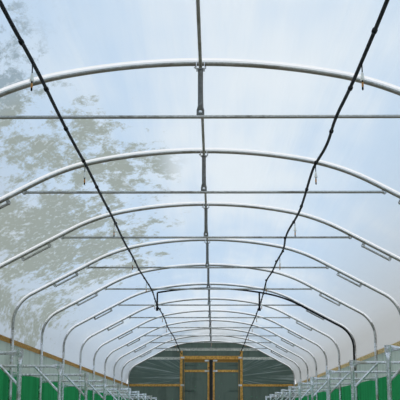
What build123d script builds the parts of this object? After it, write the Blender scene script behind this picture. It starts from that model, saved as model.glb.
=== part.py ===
from build123d import *
import math
import os

os.makedirs("parts", exist_ok=True)

# Polytunnel greenhouse. X runs across the tunnel, Y along it, Z up from the ground. Millimetres.
# The origin is on the ground at the middle of the tunnel, and the doors are in the +Y end.

# Layout
bay_length = 2440.0
bay_count = 14
half_width = 2750.0
seat_gap = 0.3
moving_gap = 5.0

# Hoop centreline, from the crown down to the leg
crown_height = 2780.0
crown_radius = 5200.0
crown_angle = 11.0
shoulder_radius = 2200.0
haunch_slope = 28.0
eave_radius = 470.0

# Steel tube sizes
hoop_diameter = 42.4
foundation_diameter = 48.3
foundation_below_eave = 96.0
tie_diameter = 25.0
tie_drop = 404.5
tie_half_length = 1712.0
king_diameter = 38.0
king_flat_width = 56.0
king_flat_height = 70.0
king_flat_thickness = 12.0
purlin_diameter = 25.0
brace_diameter = 25.0
brace_length = 350.0
brace_drop = 58.0
brace_from_crown = 1856.0
lug_thickness = 8.0
lug_width = 46.0
tie_lug_length = 69.0
tie_lug_rise = 11.5
brace_lug_width = 37.0
brace_lug_rise = 14.5
clamp_width = 62.0
clamp_length = 70.0
clamp_thickness = 5.0

# Staging brackets along both sides
left_bracket_height = 860.0
right_bracket_height = 905.0
bracket_post_x = 1690.0
bracket_post_diameter = 42.4
bracket_arm_diameter = 33.7
bracket_knee_diameter = 26.9
bracket_knee_reach = 300.0
bracket_flat_width = 60.0
bracket_flat_thickness = 10.0
bracket_flat_length = 40.0
bracket_taper_length = 60.0

# Timber rail, mesh and netting along both sides
rail_below_eave = 246.0
rail_height = 72.0
rail_thickness = 40.0
vent_mesh_height = 380.0
net_thickness = 3.0
batten_height = 60.0
batten_thickness = 20.0

# Cover sheet
cover_thickness = 4.0
cover_overhang = 50.0

# Timber end walls
end_timber_depth = 45.0
end_post_x = 1000.0
end_post_width = 85.0
collar_drop = 320.0
collar_height = 90.0
head_drop = 600.0
head_height = 110.0
board_drop = 610.0
board_height = 85.0
board_depth = 20.0
sheet_thickness = 3.0
plate_thickness = 2.0
plate_length = 120.0
plate_height = 55.0

# Door leaves in the +Y end, hung to open outwards
leaf_depth = 35.0
leaf_foot = 20.0
stile_width = 60.0
top_rail_height = 90.0
mid_rail_below_head = 419.0
mid_rail_height = 72.0
bottom_rail_height = 90.0
left_leaf_inner_edge = -65.0
right_leaf_inner_edge = 53.0
flap_thickness = 6.0
flap_lap = 30.0
flap_clearance = 8.0
strap_length = 400.0
strap_height = 40.0
strap_thickness = 5.0
low_hinge_height = 300.0
top_hinge_below_head = 200.0
knuckle_radius = 9.0
pin_radius = 4.0
pin_clearance = 0.3
pintle_plate_height = 140.0
pintle_plate_width = 28.0
pintle_gap = 1.0
pintle_arm_height = 12.0

# Overhead watering
line_diameter = 20.0
left_line_x = -985.0
right_line_x = 957.0
supply_hoop_count = 8
supply_diameter = 32.0
supply_side_gap = 8.0
supply_crown_drop = 88.0
supply_crown_slack = 626.0
supply_leg_inset = 32.0
supply_leg_length = 385.0
supply_fitting_height = 70.0
supply_fitting_diameter = 46.0
manifold_diameter = 52.0
manifold_neck_diameter = 40.0
manifold_drop = 91.0
manifold_height = 58.0
manifold_neck_height = 70.0
sprinkler_stem_length = 70.0
sprinkler_stem_radius = 3.5
sprinkler_body_length = 48.0
sprinkler_body_radius = 14.0
sprinkler_neck_radius = 4.5
sprinkler_neck_length = 12.0
sprinkler_nozzle_radius = 6.5
sprinkler_nozzle_length = 50.0
sprinkler_offset = 0.5

# Places worked out from the sizes above
tunnel_length = bay_length * bay_count
end_y = tunnel_length / 2
hoop_places = [-end_y + bay_length * i for i in range(bay_count + 1)]
inner_places = hoop_places[1:-1]
hoop_radius = hoop_diameter / 2
hoop_seat = hoop_radius + seat_gap
leg_seat = foundation_diameter / 2 + seat_gap
crown_sin = math.sin(math.radians(crown_angle))
crown_cos = math.cos(math.radians(crown_angle))
slope_sin = math.sin(math.radians(haunch_slope))
slope_cos = math.cos(math.radians(haunch_slope))
shoulder_foot_x = crown_radius * crown_sin + shoulder_radius * (slope_sin - crown_sin)
shoulder_foot_z = crown_height - crown_radius * (1 - crown_cos) - shoulder_radius * (crown_cos - slope_cos)
haunch_length = (half_width - shoulder_foot_x - eave_radius * (1 - slope_sin)) / slope_cos
eave_height = shoulder_foot_z - haunch_length * slope_sin - eave_radius * slope_cos
foundation_height = eave_height - foundation_below_eave
tie_height = crown_height - tie_drop
purlin_height = crown_height - hoop_seat - purlin_diameter / 2
rail_centre_height = eave_height - rail_below_eave
rail_bottom = rail_centre_height - rail_height / 2
rail_top = rail_centre_height + rail_height / 2
net_top_height = rail_bottom - vent_mesh_height
collar_bottom = crown_height - collar_drop
collar_top = collar_bottom + collar_height
head_bottom = crown_height - head_drop
head_top = head_bottom + head_height
board_bottom = crown_height - board_drop
board_top = board_bottom + board_height
mid_rail_bottom = head_bottom - mid_rail_below_head
top_hinge_height = head_bottom - top_hinge_below_head
hinge_heights = [low_hinge_height, (low_hinge_height + top_hinge_height) / 2, top_hinge_height]
rail_inner_x = half_width + leg_seat
rail_outer_x = rail_inner_x + rail_thickness
end_outer = leg_seat
end_inner = end_outer - end_timber_depth
doorway_half = end_post_x - end_post_width / 2


def arch_line(outset, foot_height):
    """Right half of the hoop's centreline moved outwards by outset, as one joined line."""
    with BuildLine(Plane.XZ) as line:
        crown = JernArc((0, crown_height + outset), (1, 0), crown_radius + outset, -crown_angle)
        shoulder = JernArc(crown @ 1, crown % 1, shoulder_radius + outset, crown_angle - haunch_slope)
        haunch = Line(shoulder @ 1, shoulder @ 1 + (shoulder % 1) * haunch_length)
        eave = JernArc(haunch @ 1, haunch % 1, eave_radius + outset, haunch_slope - 90)
        Line(eave @ 1, (half_width + outset, foot_height))
    return line.line


def arch_face(outset, foot_height):
    """Whole arch outline down to foot_height, as a sketch in the X-Z plane."""
    with BuildSketch(Plane.XZ) as face:
        with BuildLine():
            crown = JernArc((0, crown_height + outset), (1, 0), crown_radius + outset, -crown_angle)
            shoulder = JernArc(crown @ 1, crown % 1, shoulder_radius + outset, crown_angle - haunch_slope)
            haunch = Line(shoulder @ 1, shoulder @ 1 + (shoulder % 1) * haunch_length)
            eave = JernArc(haunch @ 1, haunch % 1, eave_radius + outset, haunch_slope - 90)
            Line(eave @ 1, (half_width + outset, foot_height))
            Line((half_width + outset, foot_height), (0, foot_height))
            mirror(about=Plane.YZ)
        make_face()
    return face.sketch_local


def swept_arch(radius, outset, foot_height):
    """Round bar of the given radius along the whole arch, at Y = 0."""
    half = arch_line(outset, foot_height)
    with BuildPart() as bar:
        with BuildSketch(Plane(origin=half @ 0, z_dir=half % 0)):
            Circle(radius)
        sweep(path=half)
        mirror(about=Plane.YZ)
    return bar.part


def haunch_point(across, drop):
    """Point of the straight haunch at the given X, moved inwards by drop, with its X and Z."""
    line_z = shoulder_foot_z - (across - shoulder_foot_x) * slope_sin / slope_cos
    return across, line_z - drop / slope_cos


def save(part, name):
    """Label a finished sub-part and write its STEP file."""
    part.label = name
    export_step(part, f"parts/{name}.step")


# Clearance body around a hoop that seated pieces are cut back to
hoop_room = swept_arch(hoop_seat, 0, foundation_height)

# Hoops: bent steel tubes, one at each bay line
one_hoop = swept_arch(hoop_radius, 0, foundation_height)
with BuildPart() as hoops:
    with Locations(*[(0, y, 0) for y in hoop_places]):
        add(one_hoop)
save(hoops.part, "hoops")

# Foundation tubes: the wider tubes that each hoop leg stands in
with BuildPart() as foundation_tubes:
    with BuildSketch():
        with Locations(*[(side * half_width, y) for y in hoop_places for side in (-1, 1)]):
            Circle(foundation_diameter / 2)
    extrude(amount=foundation_height)
save(foundation_tubes.part, "foundation_tubes")

# Tie bars: straight tubes across each inner hoop, hung on flattened end lugs
with BuildPart() as one_tie:
    with BuildSketch(Plane.YZ):
        with Locations((0, tie_height)):
            Circle(tie_diameter / 2)
    extrude(amount=tie_half_length, both=True)
    with BuildSketch(Plane.XZ):
        for side in (-1, 1):
            with Locations((side * tie_half_length, tie_height + tie_lug_rise)):
                SlotOverall(tie_lug_length, lug_width, rotation=90)
    extrude(amount=lug_thickness / 2, both=True)
    add(hoop_room, mode=Mode.SUBTRACT)
with BuildPart() as tie_bars:
    with Locations(*[(0, y, 0) for y in inner_places]):
        add(one_tie.part.solids().sort_by(SortBy.VOLUME)[-1])
save(tie_bars.part, "tie_bars")

# Ridge purlin: one line of tube under the crown of every hoop
with BuildPart() as ridge_purlin:
    with BuildSketch(Plane.XZ):
        with Locations((0, purlin_height)):
            Circle(purlin_diameter / 2)
    extrude(amount=end_y + hoop_radius, both=True)
save(ridge_purlin.part, "ridge_purlin")

# Ridge clamps: folded plates that hold the purlin up to each hoop
clamp_bottom = purlin_height - purlin_diameter / 2 - clamp_thickness
with BuildPart() as one_clamp:
    with BuildSketch(Plane.XZ):
        with Locations((0, (clamp_bottom + crown_height) / 2)):
            Rectangle(clamp_width, crown_height - clamp_bottom)
        with Locations((0, (clamp_bottom + clamp_thickness + crown_height) / 2)):
            inner_width = clamp_width - 2 * clamp_thickness
            Rectangle(inner_width, crown_height - clamp_bottom - clamp_thickness, mode=Mode.SUBTRACT)
    extrude(amount=clamp_length / 2, both=True)
    add(hoop_room, mode=Mode.SUBTRACT)
with BuildPart() as ridge_clamps:
    with Locations(*[(0, y, 0) for y in inner_places]):
        add(one_clamp.part)
save(ridge_clamps.part, "ridge_clamps")

# King posts: upright tubes from the ridge clamps down to the tie bars, flattened at the foot
king_top = clamp_bottom - seat_gap
king_foot = tie_height + tie_diameter / 2 + seat_gap
with BuildPart() as one_king:
    with BuildSketch(Plane.XY.offset(king_foot + king_flat_height)):
        Circle(king_diameter / 2)
    extrude(amount=king_top - king_foot - king_flat_height)
    with BuildSketch(Plane.XY.offset(king_foot + king_flat_height)):
        Circle(king_diameter / 2)
    with BuildSketch(Plane.XY.offset(king_foot + king_flat_height / 2)):
        Ellipse(king_flat_width / 2, king_flat_thickness / 2)
    loft()
    with BuildSketch(Plane.XY.offset(king_foot)):
        Ellipse(king_flat_width / 2, king_flat_thickness / 2)
    extrude(amount=king_flat_height / 2)
with BuildPart() as king_posts:
    with Locations(*[(0, y, 0) for y in inner_places]):
        add(one_king.part)
save(king_posts.part, "king_posts")

# Haunch braces: short tubes under each haunch, with flattened end lugs up to the hoop
brace_start = haunch_point(brace_from_crown, brace_drop)
brace_end = (brace_start[0] + brace_length * slope_cos, brace_start[1] - brace_length * slope_sin)
brace_axis = Plane(
    origin=(brace_start[0], 0, brace_start[1]),
    x_dir=(0, 1, 0),
    z_dir=(brace_end[0] - brace_start[0], 0, brace_end[1] - brace_start[1]),
)
brace_side = Plane(
    origin=(brace_start[0], 0, brace_start[1]),
    x_dir=(brace_end[0] - brace_start[0], 0, brace_end[1] - brace_start[1]),
    z_dir=(0, -1, 0),
)
with BuildPart() as one_brace:
    with BuildSketch(brace_axis):
        Circle(brace_diameter / 2)
    extrude(amount=brace_length)
    with BuildSketch(brace_side):
        with Locations((0, brace_lug_rise), (brace_length, brace_lug_rise)):
            SlotOverall(brace_drop, brace_lug_width, rotation=90)
    extrude(amount=lug_thickness / 2, both=True)
    add(hoop_room, mode=Mode.SUBTRACT)
right_brace = one_brace.part.solids().sort_by(SortBy.VOLUME)[-1]
left_brace = right_brace.mirror(Plane.YZ)
with BuildPart() as haunch_braces:
    with Locations(*[(0, y, 0) for y in inner_places]):
        add(right_brace)
        add(left_brace)
save(haunch_braces.part, "haunch_braces")

# Staging brackets: an inner post and an arm with flattened ends, and a knee brace, at each inner hoop
flat_gap = (bracket_flat_thickness + seat_gap) / 2
arm_end = half_width - leg_seat


def post_section(height):
    """Level plane across a right bracket post."""
    return Plane((bracket_post_x, -flat_gap, height))


def arm_section(across, height):
    """Upright plane across a right bracket arm, at the given X."""
    return Plane(origin=(across, flat_gap, height), x_dir=(0, 1, 0), z_dir=(1, 0, 0))


def bracket_post(height):
    """Upright tube of the right side that flattens into a tongue at its top."""
    tongue_foot = height - bracket_flat_length
    tube_top = tongue_foot - bracket_taper_length
    with BuildPart() as post:
        with BuildSketch(post_section(0)):
            Circle(bracket_post_diameter / 2)
        extrude(amount=tube_top)
        with BuildSketch(post_section(tube_top)):
            Circle(bracket_post_diameter / 2)
        with BuildSketch(post_section(tongue_foot)):
            Ellipse(bracket_flat_width / 2, bracket_flat_thickness / 2)
        loft()
        with BuildSketch(post_section(tongue_foot)):
            Ellipse(bracket_flat_width / 2, bracket_flat_thickness / 2)
        extrude(amount=bracket_flat_length + bracket_flat_width / 2)
    return post.part


def bracket_arm(height):
    """Level tube of the right side from the post tongue out to the hoop leg, flattened at both ends."""
    flat_start = bracket_post_x - bracket_flat_width / 2
    flat_stop = bracket_post_x + bracket_flat_length
    tube_start = flat_stop + bracket_taper_length
    tube_stop = arm_end - bracket_flat_length - bracket_taper_length
    far_flat = arm_end - bracket_flat_length
    with BuildPart() as arm:
        for low, high in ((flat_start, flat_stop), (far_flat, arm_end)):
            with BuildSketch(arm_section(low, height)):
                Ellipse(bracket_flat_thickness / 2, bracket_flat_width / 2)
            extrude(amount=high - low)
        for round_end, flat_end in ((tube_start, flat_stop), (tube_stop, far_flat)):
            with BuildSketch(arm_section(round_end, height)):
                Circle(bracket_arm_diameter / 2)
            with BuildSketch(arm_section(flat_end, height)):
                Ellipse(bracket_flat_thickness / 2, bracket_flat_width / 2)
            loft()
        with BuildSketch(arm_section(tube_start, height)):
            Circle(bracket_arm_diameter / 2)
        extrude(amount=tube_stop - tube_start)
    return arm.part


def bracket_knee(height):
    """Sloping tube of the right side from the post up to the arm, cut back to seat on both."""
    with BuildPart() as knee:
        knee_plane = Plane(
            origin=(bracket_post_x, 0, height - bracket_knee_reach),
            z_dir=(1, 0, 1),
        )
        with BuildSketch(knee_plane):
            Circle(bracket_knee_diameter / 2)
        extrude(amount=bracket_knee_reach * math.sqrt(2))
        with BuildSketch():
            with Locations((bracket_post_x, -flat_gap)):
                Circle(bracket_post_diameter / 2 + seat_gap)
        extrude(amount=height, mode=Mode.SUBTRACT)
        with BuildSketch(Plane.YZ.offset(bracket_post_x)):
            with Locations((flat_gap, height)):
                Circle(bracket_arm_diameter / 2 + seat_gap)
        extrude(amount=2 * bracket_knee_reach, mode=Mode.SUBTRACT)
    return knee.part.solids().sort_by(SortBy.VOLUME)[-1]


for piece_name, make_piece in (
    ("bracket_posts", bracket_post),
    ("bracket_arms", bracket_arm),
    ("bracket_knees", bracket_knee),
):
    left_piece = make_piece(left_bracket_height).mirror(Plane.YZ)
    right_piece = make_piece(right_bracket_height)
    with BuildPart() as bracket_pieces:
        with Locations(*[(0, y, 0) for y in inner_places]):
            add(left_piece)
            add(right_piece)
    save(bracket_pieces.part, piece_name)

# Side rails, vent mesh, netting skirts and cover battens along both sides
for side_name, side in (("left", -1), ("right", 1)):
    with BuildPart() as side_rail:
        with BuildSketch(Plane.XZ):
            with Locations((side * (rail_inner_x + rail_thickness / 2), rail_centre_height)):
                Rectangle(rail_thickness, rail_height)
        extrude(amount=end_y + cover_overhang, both=True)
    save(side_rail.part, f"side_rail_{side_name}")
    with BuildPart() as vent_mesh:
        with BuildSketch(Plane.XZ):
            with Locations((side * (rail_inner_x + net_thickness / 2), (rail_bottom + net_top_height) / 2)):
                Rectangle(net_thickness, rail_bottom - net_top_height)
        extrude(amount=end_y + cover_overhang, both=True)
    save(vent_mesh.part, f"vent_mesh_{side_name}")
    with BuildPart() as netting_skirt:
        with BuildSketch(Plane.XZ):
            with Locations((side * (rail_inner_x + net_thickness / 2), net_top_height / 2)):
                Rectangle(net_thickness, net_top_height)
        extrude(amount=end_y + cover_overhang, both=True)
    save(netting_skirt.part, f"netting_skirt_{side_name}")

cover_foot_x = rail_outer_x + seat_gap
with BuildPart() as cover_battens:
    with BuildSketch(Plane.XZ):
        batten_x = cover_foot_x + cover_thickness + seat_gap + batten_thickness / 2
        with Locations((-batten_x, rail_centre_height), (batten_x, rail_centre_height)):
            Rectangle(batten_thickness, batten_height)
    extrude(amount=end_y + cover_overhang, both=True)
save(cover_battens.part, "cover_battens")

# Cover: one translucent sheet over all the hoops, down over the outer face of both rails
with BuildPart() as cover:
    with BuildSketch(Plane.XZ):
        with BuildLine():
            inner = hoop_seat
            outer = hoop_seat + cover_thickness
            crown_in = JernArc((0, crown_height + inner), (1, 0), crown_radius + inner, -crown_angle)
            shoulder_in = JernArc(
                crown_in @ 1, crown_in % 1, shoulder_radius + inner, crown_angle - haunch_slope
            )
            haunch_in = Line(shoulder_in @ 1, shoulder_in @ 1 + (shoulder_in % 1) * haunch_length)
            eave_in = JernArc(haunch_in @ 1, haunch_in % 1, eave_radius + inner, haunch_slope - 90)
            crown_out = JernArc((0, crown_height + outer), (1, 0), crown_radius + outer, -crown_angle)
            shoulder_out = JernArc(
                crown_out @ 1, crown_out % 1, shoulder_radius + outer, crown_angle - haunch_slope
            )
            haunch_out = Line(shoulder_out @ 1, shoulder_out @ 1 + (shoulder_out % 1) * haunch_length)
            eave_out = JernArc(haunch_out @ 1, haunch_out % 1, eave_radius + outer, haunch_slope - 90)
            Polyline(
                eave_in @ 1,
                (cover_foot_x, rail_top),
                (cover_foot_x, rail_bottom),
                (cover_foot_x + cover_thickness, rail_bottom),
                (cover_foot_x + cover_thickness, rail_top),
                eave_out @ 1,
            )
            Line(crown_in @ 0, crown_out @ 0)
        make_face()
        mirror(about=Plane.YZ)
    extrude(amount=end_y + cover_overhang, both=True)
save(cover.part, "cover")

# End walls: timber posts, collar rails, head beams, haunch boards and side rails at both ends
inside_frame = arch_face(-hoop_seat, -1)
inside_leg = arch_face(-leg_seat, -1)
sheet_outline = arch_face(hoop_radius, 0)


def end_pair(face, low, high):
    """The same flat piece at both ends, between two distances out from the end hoop line."""
    with BuildPart() as pair:
        with BuildSketch(Plane.XZ.offset(-end_y - low)):
            add(face)
        extrude(amount=low - high)
        with BuildSketch(Plane.XZ.offset(end_y + low)):
            add(face)
        extrude(amount=high - low)
    return pair.part


with BuildPart() as end_posts:
    with Locations(*[
        (side * end_post_x, place * (end_y + (end_outer + end_inner) / 2), 0)
        for side in (-1, 1)
        for place in (-1, 1)
    ]):
        Box(
            end_post_width,
            end_timber_depth,
            collar_bottom,
            align=(Align.CENTER, Align.CENTER, Align.MIN),
        )
save(end_posts.part, "end_posts")

with BuildPart() as head_beams:
    with Locations(*[
        (0, place * (end_y + (end_outer + end_inner) / 2), (head_bottom + head_top) / 2) for place in (-1, 1)
    ]):
        Box(2 * doorway_half, end_timber_depth, head_top - head_bottom)
save(head_beams.part, "head_beams")

with BuildSketch() as collar_face:
    add(inside_frame)
    with Locations((0, (collar_bottom + collar_top) / 2)):
        Rectangle(2 * half_width, collar_top - collar_bottom, mode=Mode.INTERSECT)
collar_rails = end_pair(collar_face.sketch, end_inner, end_outer)
save(collar_rails, "collar_rails")

board_width = half_width - end_post_x
board_middle = end_post_x + end_post_width / 2 + board_width / 2
board_centre_height = (board_bottom + board_top) / 2
with BuildSketch() as board_face:
    with Locations((-board_middle, board_centre_height), (board_middle, board_centre_height)):
        Rectangle(board_width, board_top - board_bottom)
    add(inside_frame, mode=Mode.INTERSECT)
haunch_boards = end_pair(board_face.sketch, end_outer - board_depth, end_outer)
save(haunch_boards, "haunch_boards")

with BuildSketch() as end_rail_face:
    with Locations((-board_middle, rail_centre_height), (board_middle, rail_centre_height)):
        Rectangle(board_width, rail_height)
    add(inside_leg, mode=Mode.INTERSECT)
end_side_rails = end_pair(end_rail_face.sketch, end_inner, end_outer)
save(end_side_rails, "end_side_rails")

# Gable posts: short timber uprights from the collar rails to the ridge purlin
with BuildPart() as gable_posts:
    gable_top = purlin_height - purlin_diameter / 2 - seat_gap
    with Locations((0, -end_y, (collar_top + gable_top) / 2), (0, end_y, (collar_top + gable_top) / 2)):
        Box(king_diameter, king_diameter, gable_top - collar_top)
save(gable_posts.part, "gable_posts")

# End sheets: dark sheets nailed to the outer face of the timbers, beside and over the doorway
sheet_middle = end_post_x + half_width / 2
with BuildSketch() as side_sheet_face:
    with Locations((-sheet_middle, head_bottom / 2), (sheet_middle, head_bottom / 2)):
        Rectangle(half_width, head_bottom)
    add(sheet_outline, mode=Mode.INTERSECT)
end_side_sheets = end_pair(side_sheet_face.sketch, end_outer, end_outer + sheet_thickness)
save(end_side_sheets, "end_side_sheets")

with BuildSketch() as gable_face:
    add(sheet_outline)
    with Locations((0, head_bottom + half_width / 2)):
        Rectangle(2 * half_width, half_width, mode=Mode.INTERSECT)
gable_sheets = end_pair(gable_face.sketch, end_outer, end_outer + sheet_thickness)
save(gable_sheets, "gable_sheets")

# End films: clear wrinkled film beside the doorway, between the haunch board and the side rail
film_middle = (rail_top + board_bottom) / 2
with BuildSketch() as film_face:
    with Locations((-board_middle, film_middle), (board_middle, film_middle)):
        Rectangle(board_width, board_bottom - rail_top)
    add(inside_leg, mode=Mode.INTERSECT)
end_films = end_pair(film_face.sketch, end_outer - board_depth, end_outer - board_depth + sheet_thickness)
save(end_films, "end_films")

# Joint plates: thin galvanised plates on the inner face of both end frames
plate_y = end_y + end_inner - plate_thickness / 2
with BuildPart() as joint_plates:
    with Locations(*[
        (side * doorway_half, place * plate_y, height)
        for side in (-1, 1)
        for place in (-1, 1)
        for height in ((head_bottom + head_top) / 2, rail_centre_height)
    ]):
        Box(plate_length, plate_thickness, plate_height)
save(joint_plates.part, "joint_plates")

# Door leaves: timber frames with a dark sheet on the outer face
leaf_top = head_bottom - moving_gap
leaf_hinge_edge = doorway_half - moving_gap
leaf_inner = end_outer - leaf_depth
sheet_middle_y = end_y + end_outer + sheet_thickness / 2


def leaf_frame(low_x, high_x, place):
    """Framed leaf between two X edges: stiles, top rail, mid rail and bottom rail in one solid."""
    pane_x = (low_x + high_x) / 2
    pane_width = high_x - low_x - 2 * stile_width
    low_pane = (leaf_foot + bottom_rail_height, mid_rail_bottom)
    high_pane = (mid_rail_bottom + mid_rail_height, leaf_top - top_rail_height)
    with BuildPart() as frame:
        with BuildSketch(Plane.XZ.offset(-place * (end_y + leaf_inner))):
            with Locations((pane_x, (leaf_foot + leaf_top) / 2)):
                Rectangle(high_x - low_x, leaf_top - leaf_foot)
            for bottom, top in (low_pane, high_pane):
                with Locations((pane_x, (bottom + top) / 2)):
                    Rectangle(pane_width, top - bottom, mode=Mode.SUBTRACT)
        extrude(amount=-place * leaf_depth)
    return frame.part


def leaf_sheet(low_x, high_x, place):
    """Dark sheet over the whole outer face of a leaf."""
    with BuildPart() as sheet:
        with Locations(((low_x + high_x) / 2, place * sheet_middle_y, (leaf_foot + leaf_top) / 2)):
            Box(high_x - low_x, sheet_thickness, leaf_top - leaf_foot)
    return sheet.part


hinge_y = end_y + end_outer + sheet_thickness + seat_gap + knuckle_radius


def leaf_straps(side):
    """Three strap hinges of one leaf: a long strap and the knuckle that turns on the pin."""
    with BuildPart() as straps:
        for height in hinge_heights:
            hinge_plane = Plane((side * doorway_half, hinge_y, height - strap_height / 2))
            with BuildSketch(hinge_plane):
                Circle(knuckle_radius)
                with Locations((-side * strap_length / 2, -knuckle_radius + strap_thickness / 2)):
                    Rectangle(strap_length, strap_thickness)
                Circle(pin_radius + pin_clearance, mode=Mode.SUBTRACT)
            extrude(amount=strap_height)
    return straps.part


leaf_edges = {
    "left": (-leaf_hinge_edge, left_leaf_inner_edge),
    "right": (right_leaf_inner_edge, leaf_hinge_edge),
}
for side_name, side in (("left", -1), ("right", 1)):
    low_x, high_x = leaf_edges[side_name]
    save(leaf_frame(low_x, high_x, 1), f"{side_name}_leaf_frame")
    save(leaf_sheet(low_x, high_x, 1), f"{side_name}_leaf_sheet")
    save(leaf_straps(side), f"{side_name}_leaf_straps")

# Meeting flap: a black rubber strip on the left leaf that closes the gap between the leaves
flap_low = left_leaf_inner_edge - flap_lap
flap_high = right_leaf_inner_edge - flap_clearance
with BuildPart() as meeting_flap:
    flap_y = end_y + end_outer + sheet_thickness + seat_gap + flap_thickness / 2
    with Locations(((flap_low + flap_high) / 2, flap_y, (leaf_foot + leaf_top) / 2)):
        Box(flap_high - flap_low, flap_thickness, leaf_top - leaf_foot)
save(meeting_flap.part, "meeting_flap")

# Hinge pintles: a plate on the door post, an arm under the knuckle and the upright pin
with BuildPart() as hinge_pintles:
    for side in (-1, 1):
        for height in hinge_heights:
            arm_bottom = height - strap_height / 2 - pintle_gap - pintle_arm_height
            plate_middle = side * (doorway_half + knuckle_radius + pintle_gap + pintle_plate_width / 2)
            arm_reach = abs(plate_middle) - doorway_half
            plate_bottom = arm_bottom + pintle_arm_height / 2 - pintle_plate_height / 2
            post_face = end_y + end_outer
            with BuildSketch(Plane((plate_middle, post_face + strap_thickness / 2, plate_bottom))):
                Rectangle(pintle_plate_width, strap_thickness)
            extrude(amount=pintle_plate_height)
            with BuildSketch(Plane((side * doorway_half, hinge_y, arm_bottom))):
                Circle(knuckle_radius - pintle_gap)
                with Locations((side * arm_reach / 2, 0)):
                    Rectangle(arm_reach, 2 * (knuckle_radius - pintle_gap))
            extrude(amount=pintle_arm_height)
            with BuildSketch(Plane((side * doorway_half, hinge_y, arm_bottom))):
                Circle(pin_radius)
            extrude(amount=pintle_arm_height + pintle_gap + strap_height)
save(hinge_pintles.part, "hinge_pintles")

# Fixed infill of the -Y end: the same framing and sheet, nailed between the posts without hinges
infill_left = leaf_frame(-doorway_half, 0, -1)
infill_right = leaf_frame(0, doorway_half, -1)
save(infill_left + infill_right, "infill_frame")
save(leaf_sheet(-doorway_half, doorway_half, -1), "infill_sheet")

# Overhead watering: a supply pipe beside one hoop, two lines under the tie bars, and the sprinklers
supply_y = hoop_places[supply_hoop_count] - hoop_radius - supply_diameter / 2 - supply_side_gap
line_height = tie_height - tie_diameter / 2 - seat_gap - line_diameter / 2
line_places = (left_line_x, right_line_x)
manifold_bottom = line_height - manifold_drop
manifold_shoulder = manifold_bottom + manifold_height
manifold_top = manifold_shoulder + manifold_neck_height
supply_crown_height = crown_height - supply_crown_drop
supply_crown_radius = crown_radius + supply_crown_slack
supply_leg_x = half_width - supply_leg_inset
supply_foot_height = eave_height - supply_leg_length
supply_shoulder_x = supply_crown_radius * crown_sin + shoulder_radius * (slope_sin - crown_sin)
supply_haunch_length = (supply_leg_x - supply_shoulder_x - eave_radius * (1 - slope_sin)) / slope_cos
supply_left_angle = math.degrees(math.asin(-left_line_x / supply_crown_radius))
with BuildPart() as supply_pipe:
    with BuildLine(Plane.XZ.offset(-supply_y)) as supply_route:
        left_run = JernArc((0, supply_crown_height), (-1, 0), supply_crown_radius, supply_left_angle)
        crown = JernArc((0, supply_crown_height), (1, 0), supply_crown_radius, -crown_angle)
        shoulder = JernArc(crown @ 1, crown % 1, shoulder_radius, crown_angle - haunch_slope)
        haunch = Line(shoulder @ 1, shoulder @ 1 + (shoulder % 1) * supply_haunch_length)
        eave = JernArc(haunch @ 1, haunch % 1, eave_radius, haunch_slope - 90)
        Line(eave @ 1, (supply_leg_x, supply_foot_height))
    with BuildSketch(Plane(origin=left_run @ 1, z_dir=left_run % 1)):
        Circle(supply_diameter / 2)
    sweep(path=supply_route.line)
    for x in line_places:
        pipe_drop = supply_crown_radius - math.sqrt(supply_crown_radius**2 - x**2)
        with BuildSketch(Plane((x, supply_y, manifold_top))):
            Circle(supply_diameter / 2)
        extrude(amount=supply_crown_height - pipe_drop - manifold_top)
save(supply_pipe.part, "supply_pipe")

with BuildPart() as manifolds:
    for x in line_places:
        with BuildSketch(Plane((x, supply_y, manifold_bottom))):
            Circle(manifold_diameter / 2)
        extrude(amount=manifold_height)
        with BuildSketch(Plane((x, supply_y, manifold_shoulder))):
            Circle(manifold_neck_diameter / 2)
        extrude(amount=manifold_neck_height)
    with BuildSketch(Plane((supply_leg_x, supply_y, supply_foot_height - supply_fitting_height))):
        Circle(supply_fitting_diameter / 2)
    extrude(amount=supply_fitting_height)
save(manifolds.part, "manifolds")

line_seat = manifold_neck_diameter / 2 + seat_gap
for side_name, x in (("left", left_line_x), ("right", right_line_x)):
    with BuildPart() as water_line:
        with BuildSketch(Plane.XZ.offset(-inner_places[0])):
            with Locations((x, line_height)):
                Circle(line_diameter / 2)
        extrude(amount=-(supply_y - line_seat - inner_places[0]))
        with BuildSketch(Plane.XZ.offset(-supply_y - line_seat)):
            with Locations((x, line_height)):
                Circle(line_diameter / 2)
        extrude(amount=-(end_y + end_inner - seat_gap - supply_y - line_seat))
    save(water_line.part, f"water_line_{side_name}")

sprinkler_places = [y + sprinkler_offset * bay_length for y in hoop_places[1:-2]]
sprinkler_top = line_height - line_diameter / 2
with BuildPart() as one_sprinkler:
    with BuildSketch(Plane.XZ):
        with BuildLine():
            body_top = sprinkler_top - sprinkler_stem_length
            body_foot = body_top - sprinkler_body_length
            neck_foot = body_foot - sprinkler_neck_length
            Polyline(
                (0, sprinkler_top),
                (sprinkler_stem_radius, sprinkler_top),
                (sprinkler_stem_radius, body_top),
                (sprinkler_body_radius, body_foot),
                (sprinkler_neck_radius, body_foot),
                (sprinkler_neck_radius, neck_foot),
                (sprinkler_nozzle_radius, neck_foot),
                (sprinkler_nozzle_radius, neck_foot - sprinkler_nozzle_length),
                (0, neck_foot - sprinkler_nozzle_length),
                close=True,
            )
        make_face()
    revolve(axis=Axis.Z)
with BuildPart() as sprinklers:
    with Locations(*[(x, y, 0) for x in line_places for y in sprinkler_places]):
        add(one_sprinkler.part)
save(sprinklers.part, "sprinklers")
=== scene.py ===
import math
import random

import bmesh
import bpy
from bpy.props import FloatProperty, FloatVectorProperty, PointerProperty
from mathutils import Matrix, Vector, noise


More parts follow.
